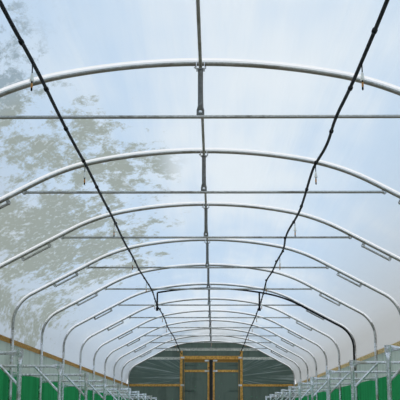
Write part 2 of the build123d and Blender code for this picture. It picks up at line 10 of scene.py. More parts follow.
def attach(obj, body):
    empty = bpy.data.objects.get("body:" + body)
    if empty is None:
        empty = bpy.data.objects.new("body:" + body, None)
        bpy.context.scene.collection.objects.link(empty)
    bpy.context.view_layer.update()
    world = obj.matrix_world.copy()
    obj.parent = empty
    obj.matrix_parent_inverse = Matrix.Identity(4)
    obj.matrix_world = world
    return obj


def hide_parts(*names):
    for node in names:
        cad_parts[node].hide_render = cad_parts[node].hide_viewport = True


bl_info = {
    "name": "Polytunnel dressing",
    "version": (1, 0, 0),
    "blender": (4, 5, 0),
    "location": "View3D > Sidebar > Polytunnel",
    "description": "Film, netting, end cloths, bolts, watering lines and finishes for a polytunnel frame",
    "category": "Add Mesh",
}

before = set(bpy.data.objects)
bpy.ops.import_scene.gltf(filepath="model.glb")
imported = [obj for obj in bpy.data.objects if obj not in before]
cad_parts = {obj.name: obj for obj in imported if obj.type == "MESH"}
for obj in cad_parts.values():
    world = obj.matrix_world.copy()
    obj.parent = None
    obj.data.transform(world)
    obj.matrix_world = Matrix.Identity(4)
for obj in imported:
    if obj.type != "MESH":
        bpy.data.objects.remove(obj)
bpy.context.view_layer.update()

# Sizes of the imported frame, in metres
BAY = 2.44
END_Y = 17.08
HOOPS = [-END_Y + BAY * i for i in range(15)]
INNER_HOOPS = HOOPS[1:-1]
HOOP_RADIUS = 0.0212
LEG_X = 2.75
CROWN_HEIGHT = 2.78
CROWN_RADIUS = 5.2
CROWN_ANGLE = math.radians(11)
CROWN_CENTRE = Vector((0, 0, CROWN_HEIGHT - CROWN_RADIUS))
SHOULDER_RADIUS = 2.2
HAUNCH_SLOPE = math.radians(28)


def slanted(angle):
    """The direction that leans away from upright by an angle, towards +X."""
    return Vector((math.sin(angle), 0, math.cos(angle)))


SHOULDER_CENTRE = CROWN_CENTRE + (CROWN_RADIUS - SHOULDER_RADIUS) * slanted(CROWN_ANGLE)
HAUNCH_TOP = SHOULDER_CENTRE + SHOULDER_RADIUS * slanted(HAUNCH_SLOPE)
EAVE_RADIUS = 0.47
HAUNCH_LENGTH = (LEG_X - EAVE_RADIUS * (1 - math.sin(HAUNCH_SLOPE)) - HAUNCH_TOP.x) / math.cos(HAUNCH_SLOPE)
HAUNCH_RUN = HAUNCH_LENGTH * Vector((math.cos(HAUNCH_SLOPE), 0, -math.sin(HAUNCH_SLOPE)))
EAVE_CENTRE = HAUNCH_TOP + HAUNCH_RUN - EAVE_RADIUS * slanted(HAUNCH_SLOPE)
OVERHANG = 0.05
RAIL_CENTRE = EAVE_CENTRE.z - 0.246
RAIL_TOP = RAIL_CENTRE + 0.036
RAIL_BOTTOM = RAIL_CENTRE - 0.036
RAIL_OUTER_X = 2.8145
BATTEN_OUTER_X = 2.8391
NET_TOP = RAIL_BOTTOM - 0.38
NET_X = 2.776
TIE_HEIGHT = 2.3755
TIE_LUG_X = 1.712
BRACE_ENDS = ((1.856, 2.27), (2.165, 2.1057))
KING_FOOT = 2.412
CLAMP_HEIGHT = 2.746
LEG_BOLT_HEIGHT = 1.43
LINE_HEIGHT = 2.3527
LINE_PLACES = {"left": -0.985, "right": 0.957}
LINE_START = -14.64
LINE_END = 17.06
MANIFOLD_Y = 2.3948
BRACKET_X = 1.69
BRACKET_HEIGHTS = {-1: 0.86, 1: 0.905}
KNEE_REACH = 0.30
END_FACE = 17.1045
HEAD_BOTTOM = 2.18
HAUNCH_BOARD_BOTTOM = 2.17
GABLE_HALF_WIDTH = 2.1909
SIDE_HALF_WIDTH = 1.7712
END_FILM_HALF_WIDTH = 1.683
DOORWAY_HALF = 0.9575
POST_X = 1.0
POST_OUTER_X = 1.0425
LEAF_OUTER_X = 0.9525
LEAF_EDGES = {"left": -0.065, "right": 0.053}
LEAF_BOTTOM = 0.02
LEAF_TOP = 2.175
LEAF_TOP_RAIL = 2.135
LEAF_MID_RAIL = 1.797
LEAF_INNER_FACE = END_FACE - 0.035
STOP_X = 0.9533
SIDES = {"left": -1, "right": 1}

# How far the thin pieces stand off what they lie on, and how far from its timbers a cloth bellies in full
FILM_GAP = 0.0023
TAPE_GAP = 0.0004
CLOTH_GAP = 0.0008
LEAF_CLOTH_GAP = 0.0016
CLOTH_FADE = 0.12


def length_property(name, description, default, largest, smallest=0.0):
    return FloatProperty(
        name=name, description=description, default=default, min=smallest, max=largest, unit="LENGTH"
    )


def colour_property(name, description, default):
    return FloatVectorProperty(
        name=name, description=description, subtype="COLOR", default=default, min=0, max=1
    )


class TunnelSizes(bpy.types.PropertyGroup):
    """Sizes of the pieces that are added to the frame."""

    film_sag: length_property("Film sag", "How far the film dips between two hoops", 0.011, 0.03)
    tape_width: FloatProperty(
        name="Tape arc", description="Arc of each hoop that the anti-hot-spot tape covers",
        default=math.radians(205), min=0.5, max=math.radians(240), subtype="ANGLE",
    )
    net_ripple: length_property("Net ripple", "Depth of the soft folds in the side netting", 0.007, 0.02)
    cloth_billow: length_property(
        "End cloth billow", "How far the end cloths belly between their timbers", 0.006, 0.02
    )
    bolt_size: length_property("Bolt head", "Width across the head of the frame bolts", 0.019, 0.03, 0.008)


class TunnelColours(bpy.types.PropertyGroup):
    """Main colours of the finishes."""

    steel: colour_property("Steel", "Weathered zinc of the tubes", (0.53, 0.53, 0.51))
    timber: colour_property("Timber", "Sawn treated timber", (0.66, 0.35, 0.090))
    pale_timber: colour_property("Pale timber", "Newer unstained boards", (0.85, 0.84, 0.74))
    film: colour_property("Film", "Light that the clean cover film lets through", (0.60, 0.76, 0.95))
    # Tint of the painted leaf shade on the film, which also carries algae and dirt
    mottle: colour_property(
        "Film mottle", "Algae and dust on the shaded side of the film", (0.30, 0.33, 0.26)
    )
    netting: colour_property("Netting", "Green shade netting", (0.022, 0.235, 0.080))
    end_cloth: colour_property("End cloth", "Dark green woven cloth of the ends", (0.115, 0.155, 0.132))


def sizes():
    return bpy.context.scene.polytunnel_sizes


def colours():
    return bpy.context.scene.polytunnel_colours


# Selection and placing


def deselect():
    if bpy.context.object and bpy.context.object.mode != "OBJECT":
        bpy.ops.object.mode_set(mode="OBJECT")
    bpy.ops.object.select_all(action="DESELECT")


def only(piece):
    """Make piece the one selected and active object."""
    deselect()
    piece.select_set(True)
    bpy.context.view_layer.objects.active = piece
    return piece


def select_all():
    bpy.ops.mesh.select_all(action="SELECT")


def begin_edit(piece):
    only(piece)
    bpy.ops.object.mode_set(mode="EDIT")
    bpy.ops.mesh.select_mode(type="VERT")
    select_all()


def end_edit():
    bpy.ops.object.mode_set(mode="OBJECT")


def settled(name):
    """Name the active object and put its place into its mesh."""
    piece = only(bpy.context.object)
    bpy.ops.object.transform_apply(location=True, rotation=True, scale=True)
    piece.name = name
    piece.data.name = name
    return piece


def pick(piece, test, kind="EDGE"):
    """In edit mode, select only the elements whose corners all pass the test."""
    bpy.ops.mesh.select_all(action="DESELECT")
    bpy.ops.mesh.select_mode(type=kind)
    mesh = bmesh.from_edit_mesh(piece.data)
    elements = {"VERT": mesh.verts, "EDGE": mesh.edges, "FACE": mesh.faces}[kind]
    for element in elements:
        corners = [element] if kind == "VERT" else element.verts
        element.select_set(all(test(corner.co) for corner in corners))
    bmesh.update_edit_mesh(piece.data)


def apply_modifier(piece, kind, **settings):
    only(piece)
    modifier = piece.modifiers.new(kind.title(), kind)
    for name, value in settings.items():
        setattr(modifier, name, value)
    bpy.ops.object.modifier_apply(modifier=modifier.name)


def mirrored(piece):
    """Add the left half of a piece that was made on the right."""
    apply_modifier(piece, "MIRROR", use_axis=(True, False, False), merge_threshold=0.0005)
    begin_edit(piece)
    bpy.ops.mesh.normals_make_consistent(inside=False)
    end_edit()


def joined(pieces, name):
    deselect()
    for piece in pieces:
        piece.select_set(True)
    bpy.context.view_layer.objects.active = pieces[0]
    if len(pieces) > 1:
        bpy.ops.object.join()
    return settled(name)


def copies(piece, places, name):
    """Copy one settled piece to each place, as a move or a 4x4 matrix, and join the copies."""
    made = []
    for place in places:
        only(piece)
        bpy.ops.object.duplicate()
        copy = bpy.context.object
        copy.matrix_world = place if isinstance(place, Matrix) else Matrix.Translation(place)
        bpy.ops.object.transform_apply(location=True, rotation=True, scale=True)
        made.append(copy)
    only(piece)
    bpy.ops.object.delete()
    return joined(made, name)


def smooth(piece, angle=35):
    only(piece)
    bpy.ops.object.shade_smooth_by_angle(angle=math.radians(angle))


def finish_named(name):
    return bpy.data.materials[name]


def dress(piece, body, finish=None, replaces=()):
    """Give a finished piece its body, its finish and the CAD nodes it stands for."""
    if finish:
        piece.data.materials.clear()
        piece.data.materials.append(finish_named(finish))
    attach(piece, body)
    if replaces:
        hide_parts(*replaces)


# Shapes that several pieces share


def point_at(place, name):
    """An object of one vertex, ready to be swept, left in edit mode."""
    bpy.ops.mesh.primitive_plane_add(size=0.01, location=place)
    piece = settled(name)
    begin_edit(piece)
    bpy.ops.mesh.merge(type="CENTER")
    return piece


def row_along(low_y, high_y, height, parts, name):
    """A straight row of edges along Y at X = 0, ready to be swept, left in edit mode."""
    bpy.ops.mesh.primitive_grid_add(x_subdivisions=1, y_subdivisions=parts, size=1)
    piece = only(bpy.context.object)
    piece.scale = (1, high_y - low_y, 1)
    piece.location = (0.5, (low_y + high_y) / 2, height)
    piece = settled(name)
    begin_edit(piece)
    pick(piece, lambda co: co.x > 0.5, "VERT")
    bpy.ops.mesh.delete(type="VERT")
    select_all()
    return piece


def turn(steps, angle, centre):
    bpy.ops.mesh.spin(steps=steps, angle=angle, center=centre, axis=(0, 1, 0))


def push(run, edges=True):
    extrude = bpy.ops.mesh.extrude_edges_move if edges else bpy.ops.mesh.extrude_vertices_move
    extrude(TRANSFORM_OT_translate={"value": run})


def sweep_to_eave(edges=True):
    """Carry what is selected at the crown along the right half of the arch, to the start of the eave."""
    turn(8, -CROWN_ANGLE, CROWN_CENTRE)
    turn(9, CROWN_ANGLE - HAUNCH_SLOPE, SHOULDER_CENTRE)
    push(HAUNCH_RUN, edges)


def sweep_down_arch(foot, edges=True):
    """Carry what is selected at the crown along the right half of the arch, down to the foot."""
    sweep_to_eave(edges)
    turn(16, HAUNCH_SLOPE - math.pi / 2, EAVE_CENTRE)
    push((0, 0, foot - EAVE_CENTRE.z), edges)


def turned(rings, sides, name):
    """A closed round piece about Z, from a list of (radius, height) rings."""
    radius, height = rings[0]
    bpy.ops.mesh.primitive_circle_add(
        vertices=sides, radius=radius, fill_type="NGON", location=(0, 0, height)
    )
    piece = settled(name)
    begin_edit(piece)
    for next_radius, next_height in rings[1:]:
        bpy.ops.mesh.extrude_region_move(TRANSFORM_OT_translate={"value": (0, 0, next_height - height)})
        grow = next_radius / radius
        bpy.ops.transform.resize(value=(grow, grow, 1), center_override=(0, 0, next_height))
        radius, height = next_radius, next_height
    select_all()
    bpy.ops.mesh.normals_make_consistent(inside=False)
    end_edit()
    return piece


def bevelled_box(low, high, bevel, name, segments=2):
    bpy.ops.mesh.primitive_cube_add(size=1)
    piece = only(bpy.context.object)
    piece.scale = [b - a for a, b in zip(low, high)]
    piece.location = [(a + b) / 2 for a, b in zip(low, high)]
    piece = settled(name)
    begin_edit(piece)
    bpy.ops.mesh.bevel(offset=bevel, segments=segments, affect="EDGES")
    end_edit()
    return piece


def bolt(name, size, grip=0.0):
    """A hexagon bolt head on a washer, its seat at Z = 0, with a nut under it if grip is given."""
    half = size / 2
    head = size * 0.55
    washer = [(half * 1.45, 0), (half * 1.5, 0.0004), (half * 1.5, 0.0016), (half * 1.4, 0.002)]
    parts = [
        turned(washer, 16, name),
        turned([(half * 1.1, 0.002), (half * 1.1, head - 0.001), (half * 0.95, head)], 6, name),
    ]
    if grip:
        parts.append(turned([(half * 1.1, -grip - head), (half * 1.1, -grip)], 6, name))
        parts.append(turned([(half * 0.5, -grip - head - 0.006), (half * 0.5, -grip - head)], 8, name))
    return joined(parts, name)


def along(direction, place):
    """Matrix that stands a piece made about Z at a place, with its Z along the direction."""
    turn_to = Vector((0, 0, 1)).rotation_difference(Vector(direction)).to_matrix().to_4x4()
    return Matrix.Translation(place) @ turn_to


def upright_grid(low, high, steps, name):
    """A flat upright sheet between two corners that share an X or a Y, in a grid of steps."""
    facing_x = high[0] - low[0] == 0
    run = high[1] - low[1] if facing_x else high[0] - low[0]
    bpy.ops.mesh.primitive_grid_add(x_subdivisions=steps[0], y_subdivisions=steps[1], size=1)
    piece = only(bpy.context.object)
    piece.scale = (run, high[2] - low[2], 1)
    bpy.ops.object.transform_apply(location=False, rotation=False, scale=True)
    piece.rotation_euler = (math.pi / 2, 0, math.pi / 2 if facing_x else 0)
    piece.location = [(a + b) / 2 for a, b in zip(low, high)]
    return settled(name)


# Shader helpers


def node(tree, kind, inputs=None, **settings):
    """Add a node, and feed each input from a socket or with a plain value."""
    made = tree.nodes.new(kind)
    for name, value in settings.items():
        setattr(made, name, value)
    for key, value in (inputs or {}).items():
        if isinstance(value, bpy.types.NodeSocket):
            tree.links.new(value, made.inputs[key])
        else:
            made.inputs[key].default_value = value
    return made


def maths(tree, operation, a, b=0.0):
    return node(tree, "ShaderNodeMath", {0: a, 1: b}, operation=operation).outputs[0]


def product(tree, first, *others):
    for other in others:
        first = maths(tree, "MULTIPLY", first, other)
    return first


def weighted(tree, *terms):
    """Sum of values, each given with its weight."""
    shares = [product(tree, value, weight) for value, weight in terms]
    total = shares[0]
    for share in shares[1:]:
        total = maths(tree, "ADD", total, share)
    return total


def mix_colour(tree, factor, a, b, blend_type="MIX"):
    inputs = {0: factor, 6: a, 7: b}
    return node(tree, "ShaderNodeMix", inputs, data_type="RGBA", blend_type=blend_type).outputs[2]


def soft_step(tree, value, low, high, to_low=0.0, to_high=1.0):
    inputs = {"Value": value, "From Min": low, "From Max": high, "To Min": to_low, "To Max": to_high}
    return node(tree, "ShaderNodeMapRange", inputs, interpolation_type="SMOOTHSTEP").outputs[0]


def cloud(tree, vector, scale=1.0, detail=3.0, roughness=0.5, distortion=0.0):
    names = ("Vector", "Scale", "Detail", "Roughness", "Distortion")
    inputs = dict(zip(names, (vector, scale, detail, roughness, distortion)))
    return node(tree, "ShaderNodeTexNoise", inputs).outputs["Fac"]


def stretched(tree, vector, scale, rotation=(0, 0, 0)):
    inputs = {"Vector": vector, "Scale": scale, "Rotation": rotation}
    return node(tree, "ShaderNodeMapping", inputs).outputs[0]


def new_group(name, inputs, outputs):
    """A shader node group with the given sockets, and its input and output nodes."""
    tree = bpy.data.node_groups.new(name, "ShaderNodeTree")
    for socket, kind, value in inputs:
        made = tree.interface.new_socket(socket, in_out="INPUT", socket_type=kind)
        if value is not None:
            made.default_value = value
    for socket, kind in outputs:
        tree.interface.new_socket(socket, in_out="OUTPUT", socket_type=kind)
    return tree, tree.nodes.new("NodeGroupInput").outputs, tree.nodes.new("NodeGroupOutput").inputs


def use_group(tree, name, inputs):
    return node(tree, "ShaderNodeGroup", inputs, node_tree=bpy.data.node_groups[name]).outputs


def rgba(colour, shade=1.0):
    return (colour[0] * shade, colour[1] * shade, colour[2] * shade, 1.0)


def new_finish(name, roughness, metallic=0.0):
    """Make a material, and give its node tree, its Principled shader and its object coordinates."""
    finish = bpy.data.materials.new(name)
    finish.use_nodes = True
    tree = finish.node_tree
    shader = tree.nodes["Principled BSDF"]
    shader.inputs["Roughness"].default_value = roughness
    shader.inputs["Metallic"].default_value = metallic
    return tree, shader, tree.nodes.new("ShaderNodeTexCoord").outputs["Object"]


def split(tree, vector):
    return node(tree, "ShaderNodeSeparateXYZ", {0: vector}).outputs


def distance_from(tree, value, middle):
    return maths(tree, "ABSOLUTE", maths(tree, "SUBTRACT", value, middle))


def blended(tree, share, first, second):
    """Mix two shaders, and make the mix the surface."""
    mixed = node(tree, "ShaderNodeMixShader", {0: share, 1: first, 2: second}).outputs[0]
    tree.links.new(mixed, tree.nodes["Material Output"].inputs["Surface"])
    return mixed


def grime(tree, place, size, cover):
    return use_group(tree, "grime_patches", {"Vector": place, "Size": size, "Cover": cover})["Mask"]


def bumped(tree, shader, height, strength, distance):
    made = node(tree, "ShaderNodeBump", {"Height": height, "Strength": strength, "Distance": distance})
    tree.links.new(made.outputs[0], shader.inputs["Normal"])
    return made.outputs[0]


# Node groups for the effects that several finishes share

VECTOR, NUMBER, COLOUR = "NodeSocketVector", "NodeSocketFloat", "NodeSocketColor"


def build_groups():
    build_patches()
    build_zinc()
    build_grain()
    build_weave()


def build_patches():
    """Uneven patches of dirt, from large stains broken up by small ones."""
    tree, given, out = new_group(
        "grime_patches",
        [("Vector", VECTOR, None), ("Size", NUMBER, 1.0), ("Cover", NUMBER, 0.5)],
        [("Mask", NUMBER)],
    )
    large = cloud(tree, given["Vector"], given["Size"], 4.0, 0.6, 0.4)
    small = cloud(tree, given["Vector"], product(tree, given["Size"], 7.0), 3.0, 0.6)
    both = weighted(tree, (large, 0.7), (small, 0.3))
    low = maths(tree, "SUBTRACT", 0.72, product(tree, given["Cover"], 0.45))
    mask = soft_step(tree, both, low, maths(tree, "ADD", low, 0.16))
    tree.links.new(mask, out["Mask"])


def build_zinc():
    """Dull galvanised zinc: fine spangle, pale bloom and brown dirt."""
    tree, given, out = new_group(
        "zinc_bloom",
        [("Vector", VECTOR, None), ("Base", COLOUR, None), ("Dirt", COLOUR, None)],
        [("Color", COLOUR), ("Roughness", NUMBER), ("Height", NUMBER)],
    )
    spangle = node(tree, "ShaderNodeTexVoronoi", {"Vector": given["Vector"], "Scale": 95.0}).outputs["Color"]
    flake = node(tree, "ShaderNodeSeparateColor", {0: spangle}).outputs[0]
    tone = soft_step(tree, flake, 0.0, 1.0, 0.86, 1.14)
    tones = node(tree, "ShaderNodeCombineColor", {0: tone, 1: tone, 2: tone}).outputs[0]
    bloom = cloud(tree, given["Vector"], 6.0, 5.0, 0.65)
    base = mix_colour(tree, 1.0, given["Base"], tones, "MULTIPLY")
    pale = mix_colour(tree, soft_step(tree, bloom, 0.5, 0.75, 0.0, 0.45), base, (0.55, 0.56, 0.55, 1))
    stains = product(tree, grime(tree, given["Vector"], 3.0, 0.55), 0.6)
    tree.links.new(mix_colour(tree, stains, pale, given["Dirt"]), out["Color"])
    tree.links.new(soft_step(tree, bloom, 0.3, 0.7, 0.38, 0.62), out["Roughness"])
    tree.links.new(weighted(tree, (bloom, 1.0), (flake, 0.15)), out["Height"])


def build_grain():
    """Sawn timber: long streaks, broad tone changes and small dark knots."""
    tree, given, out = new_group(
        "sawn_grain",
        [("Vector", VECTOR, None), ("Light", COLOUR, None), ("Dark", COLOUR, None)],
        [("Color", COLOUR), ("Height", NUMBER)],
    )
    streak = cloud(tree, given["Vector"], 9.0, 6.0, 0.65, 0.8)
    tone = cloud(tree, given["Vector"], 1.3, 2.0)
    mixed = weighted(tree, (streak, 0.75), (tone, 0.25))
    colour = mix_colour(tree, soft_step(tree, mixed, 0.34, 0.66), given["Dark"], given["Light"])
    knots = node(tree, "ShaderNodeTexVoronoi", {"Vector": given["Vector"], "Scale": 1.1}).outputs["Distance"]
    dark = mix_colour(tree, soft_step(tree, knots, 0.05, 0.12, 0.75, 0.0), colour, (0.05, 0.025, 0.01, 1))
    tree.links.new(dark, out["Color"])
    tree.links.new(streak, out["Height"])


def build_weave():
    """Plain weave in the X and Z directions, with pinholes where threads part."""
    tree, given, out = new_group(
        "plain_weave",
        [("Vector", VECTOR, None), ("Threads", NUMBER, 300.0)],
        [("Height", NUMBER), ("Pinholes", NUMBER)],
    )
    threads = {"Vector": given["Vector"], "Scale": given["Threads"]}
    warp, weft = (
        node(tree, "ShaderNodeTexWave", threads, bands_direction=way).outputs["Fac"] for way in ("X", "Z")
    )
    tree.links.new(maths(tree, "ADD", warp, weft), out["Height"])
    holes = node(tree, "ShaderNodeTexVoronoi", {"Vector": given["Vector"], "Scale": 9.0}).outputs["Distance"]
    tree.links.new(soft_step(tree, holes, 0.045, 0.075, 1.0, 0.0), out["Pinholes"])


# Finishes


def make_steel(name, colour, underside_shade, metallic=0.4, polish=0.0):
    """Weathered zinc, with a painted reflection of dark soil that browns the side facing down; the third
    argument sets how brown.
    """
    tree, shader, place = new_finish(name, 0.45, metallic)
    dirt = rgba((0.085, 0.072, 0.045), 1 + 15 * polish)
    zinc = use_group(tree, "zinc_bloom", {"Vector": place, "Base": rgba(colour), "Dirt": dirt})
    # Painted reflection of dark soil: brown on the side that faces down
    facing = split(tree, tree.nodes["Texture Coordinate"].outputs["Normal"])["Z"]
    painted_underside = soft_step(tree, facing, 0.0, -0.75, 0.0, underside_shade)
    shown = mix_colour(tree, painted_underside, zinc["Color"], (0.165, 0.125, 0.07, 1))
    tree.links.new(shown, shader.inputs["Base Color"])
    tree.links.new(maths(tree, "SUBTRACT", zinc["Roughness"], polish), shader.inputs["Roughness"])
    bumped(tree, shader, zinc["Height"], 0.25 - polish, 0.001)


def make_timber(name, colour, run, shaded_above=None, dark_beyond=None):
    """Sawn timber, its grain along the axis named by run, with painted shade above a height and darker beyond
    an X.
    """
    across, along_grain = 9.0, 0.55
    scale = [along_grain if axis == run else across for axis in "XYZ"]
    tree, shader, place = new_finish(name, 0.8)
    shader.inputs["Specular IOR Level"].default_value = 0.15
    wood = use_group(tree, "sawn_grain", {
        "Vector": stretched(tree, place, scale), "Light": rgba(colour), "Dark": rgba(colour, 0.6),
    })
    rough = soft_step(tree, cloud(tree, place, 22.0, 3.0, 0.7), 0.42, 0.62)
    sawn = mix_colour(tree, product(tree, rough, 0.8), wood["Color"], rgba(colour, 0.40))
    shown = mix_colour(tree, product(tree, grime(tree, place, 2.2, 0.4), 0.25), sawn, (0.13, 0.09, 0.05, 1))
    # Painted shade: the leaves' top rails lie in shadow above the given height; beyond the given X the timber
    # is a darker grey-brown
    if shaded_above:
        parts = split(tree, place)
        fade = 0.004
        high = soft_step(tree, parts["Z"], shaded_above - fade, shaded_above)
        wide = soft_step(tree, maths(tree, "ABSOLUTE", parts["X"]), dark_beyond - fade, dark_beyond)
        shown = mix_colour(tree, high, shown, rgba(colour, 0.3))
        shown = mix_colour(tree, wide, shown, (0.15, 0.15, 0.10, 1))
    tree.links.new(shown, shader.inputs["Base Color"])
    bumped(tree, shader, wood["Height"], 0.35, 0.0015)


def film_leaf_shade(tree, place, parts):
    """Masks for painted leaf shade mixed with algae and dirt, and for the painted sunlit spots in it, densest
    low on the left, to the -Y end.
    """
    side = soft_step(tree, parts["X"], 0.1, -2.1)
    length = soft_step(tree, parts["Y"], 4.0, -4.0)
    second_bay_on = soft_step(tree, parts["Y"], -10.0, -8.2, 0.12, 1.0)
    far_left = soft_step(tree, parts["X"], -0.75, -1.5, 0.0, 0.65)
    density = product(tree, side, length, maths(tree, "MAXIMUM", second_bay_on, far_left))
    clusters = cloud(tree, stretched(tree, place, (1.3, 0.6, 1.3)), 1.0, 2.0, 0.5, 0.2)
    leaves = cloud(tree, stretched(tree, place, (6.5, 2.7, 6.5)), 1.0, 6.0, 0.72, 0.2)
    spread = weighted(tree, (leaves, 0.55), (clusters, 0.45), (density, 0.15))
    mottled = product(tree, soft_step(tree, spread, 0.56, 0.645), soft_step(tree, density, 0.02, 0.2))
    small = cloud(tree, stretched(tree, place, (17.0, 8.0, 17.0)), 1.0, 3.0, 0.6, 0.4)
    return mottled, product(tree, soft_step(tree, small, 0.54, 0.70), mottled, 0.7)


def film_low_shade(tree, parts):
    """Mask for painted shade, grey on the haunches and eaves, weaker along the left side."""
    low = soft_step(tree, parts["Z"], 2.72, 1.62, 0.0, 0.92)
    on_left = soft_step(tree, parts["Y"], -3.0, -9.0, 0.5, 0.95)
    on_right = soft_step(tree, parts["X"], 0.0, 1.0, 0.0, 0.95)
    return product(tree, low, maths(tree, "MAXIMUM", on_left, on_right))


def film_fold_shade(tree, place, parts):
    """Mask for painted shade in the grey wrinkles where the film is gathered in at the +Y end."""
    gathered = soft_step(tree, parts["Y"], 6.0, 16.5, 0.0, 0.75)
    wrinkle = cloud(tree, stretched(tree, place, (1.6, 0.9, 1.6)), 1.0, 4.0, 0.6, 0.3)
    return product(tree, gathered, soft_step(tree, wrinkle, 0.66, 0.38, 0.25, 0.75))


def hoop_highlight(tree, parts):
    """Mask for the painted highlight where the film lies on each taped hoop, down to where the tape ends."""
    along_bays = maths(tree, "DIVIDE", maths(tree, "ADD", parts["Y"], END_Y + BAY / 2), BAY)
    from_hoop = distance_from(tree, maths(tree, "FRACT", along_bays), 0.5)
    band = soft_step(tree, from_hoop, 0.050 / BAY, 0.040 / BAY)
    return product(tree, band, soft_step(tree, parts["Z"], 1.75, 2.0))


def make_film(name):
    """Milky cover film: it lets light through, is a little see-through, and is mottled on one side."""
    tree, shader, place = new_finish(name, 0.34)
    parts = split(tree, place)
    # Soft clouds, faint streaks along the tunnel, and painted light that brightens the film over the middle
    soft = cloud(tree, stretched(tree, place, (0.5, 0.25, 0.5)), 1.0, 3.0, 0.55)
    streak = cloud(tree, stretched(tree, place, (4.2, 0.22, 4.2)), 1.0, 4.0, 0.6, 0.3)
    middle = soft_step(tree, distance_from(tree, parts["X"], 0.25), 2.1, 0.1, 0.0, 0.16)
    haze_and_glow = weighted(tree, (soft, 0.75), (streak, 0.25), (middle, 1.0))
    tone = mix_colour(tree, soft_step(tree, haze_and_glow, 0.47, 0.80), rgba(colours().film), (0.89, 0.95, 1.0, 1))
    # Painted shade: grey low on the haunches and eaves
    tone = mix_colour(tree, film_low_shade(tree, parts), tone, (0.50, 0.48, 0.44, 1))
    # Painted leaf shade mixed with algae and dirt, bluer over the first bay, with pale painted sunlit spots
    # in it
    mottled, sun_flecks = film_leaf_shade(tree, place, parts)
    past_first_bay = soft_step(tree, parts["Y"], -9.9, -9.1)
    dust_and_shade = mix_colour(tree, past_first_bay, (0.27, 0.36, 0.42, 1), rgba(colours().mottle))
    tone = mix_colour(tree, product(tree, mottled, 0.9), tone, dust_and_shade)
    tone = mix_colour(tree, sun_flecks, tone, (0.66, 0.74, 0.80, 1))
    # Painted shade in the grey wrinkles at the +Y end
    tone = mix_colour(tree, film_fold_shade(tree, place, parts), tone, (0.27, 0.30, 0.305, 1))
    # Painted highlight along each taped hoop
    tone = mix_colour(tree, hoop_highlight(tree, parts), tone, (0.97, 0.98, 1.0, 1))
    tree.links.new(tone, shader.inputs["Base Color"])
    normal = bumped(tree, shader, streak, 0.5, 0.02)
    through = node(tree, "ShaderNodeBsdfTranslucent", {"Color": tone, "Normal": normal})
    clear = node(tree, "ShaderNodeBsdfTransparent", {"Color": (0.82, 0.92, 1, 1)})
    milky = blended(tree, 0.70, shader.outputs[0], through.outputs[0])
    blended(tree, 0.10, milky, clear.outputs[0])


def make_cloth(name, colour, threads, lit, holes=False, turned_by=0.0, folds=0.35):
    """Woven or knitted cloth that lets some light through, with dirt patches and painted shade in soft folds.
    turned_by turns the weave about Z.
    """
    tree, shader, place = new_finish(name, 0.85)
    shader.inputs["Specular IOR Level"].default_value = 0.0
    weave = use_group(tree, "plain_weave", {
        "Vector": stretched(tree, place, (1, 1, 1), (0, 0, turned_by)), "Threads": threads,
    })
    # Painted shade in soft folds, added to real dirt patches; folds sets its share
    fold_shade = soft_step(tree, cloud(tree, stretched(tree, place, (5.0, 5.0, 0.6)), 1.0, 4.0, 0.6), 0.42, 0.66)
    shade = weighted(tree, (grime(tree, place, 1.3, 0.45), 0.25), (fold_shade, folds))
    shown = mix_colour(tree, shade, rgba(colour), rgba(colour, 0.45))
    # Painted light: bright green spots where light would show through pinholes
    if holes:
        shown = mix_colour(tree, weave["Pinholes"], shown, (0.10, 0.75, 0.28, 1))
    tree.links.new(shown, shader.inputs["Base Color"])
    normal = bumped(tree, shader, weave["Height"], 0.2, 0.001)
    through = node(tree, "ShaderNodeBsdfTranslucent", {"Color": shown, "Normal": normal})
    blended(tree, lit, shader.outputs[0], through.outputs[0])


def make_clear_film(name):
    """Thin film over the dark cloth, with fine creases that fan out from the posts and painted reflections
    along them.
    """
    tree, shader, place = new_finish(name, 0.4)
    parts = split(tree, place)
    # Bearing of each point from the foot of the fan on its own side, so that creases run outwards
    foot_x, foot_z = 0.55, 1.60
    out_from_foot = maths(tree, "SUBTRACT", maths(tree, "ABSOLUTE", parts["X"]), foot_x)
    bearing = maths(tree, "DIVIDE", maths(tree, "SUBTRACT", parts["Z"], foot_z), out_from_foot)
    fan = node(tree, "ShaderNodeCombineXYZ", {
        "X": product(tree, parts["X"], 0.6),
        "Y": product(tree, parts["Y"], 0.01),
        "Z": product(tree, bearing, 24.0),
    }).outputs[0]
    creases = cloud(tree, fan, 1.0, 4.0, 0.65, 0.3)
    # Painted reflection: pale lines along the creases on the dark film
    lines = soft_step(tree, creases, 0.50, 0.68)
    tone = mix_colour(tree, lines, (0.115, 0.165, 0.135, 1), (0.42, 0.48, 0.46, 1))
    tree.links.new(tone, shader.inputs["Base Color"])
    bumped(tree, shader, creases, 0.5, 0.006)
    clear = node(tree, "ShaderNodeBsdfTransparent")
    blended(tree, 0.25, shader.outputs[0], clear.outputs[0])


def make_plastic(name, colour, roughness, grime_cover, gloss=0.5):
    """Moulded plastic or rubber with dust in soft patches."""
    tree, shader, place = new_finish(name, roughness)
    shader.inputs["Specular IOR Level"].default_value = gloss
    dust_and_shade = grime(tree, place, 8.0, grime_cover)
    dusty = mix_colour(tree, product(tree, dust_and_shade, 0.3), rgba(colour), (0.30, 0.27, 0.22, 1))
    tree.links.new(dusty, shader.inputs["Base Color"])
    tree.links.new(soft_step(tree, dust_and_shade, 0.0, 1.0, roughness, roughness + 0.2), shader.inputs["Roughness"])
    bumped(tree, shader, cloud(tree, place, 160.0, 2.0), 0.08, 0.0005)


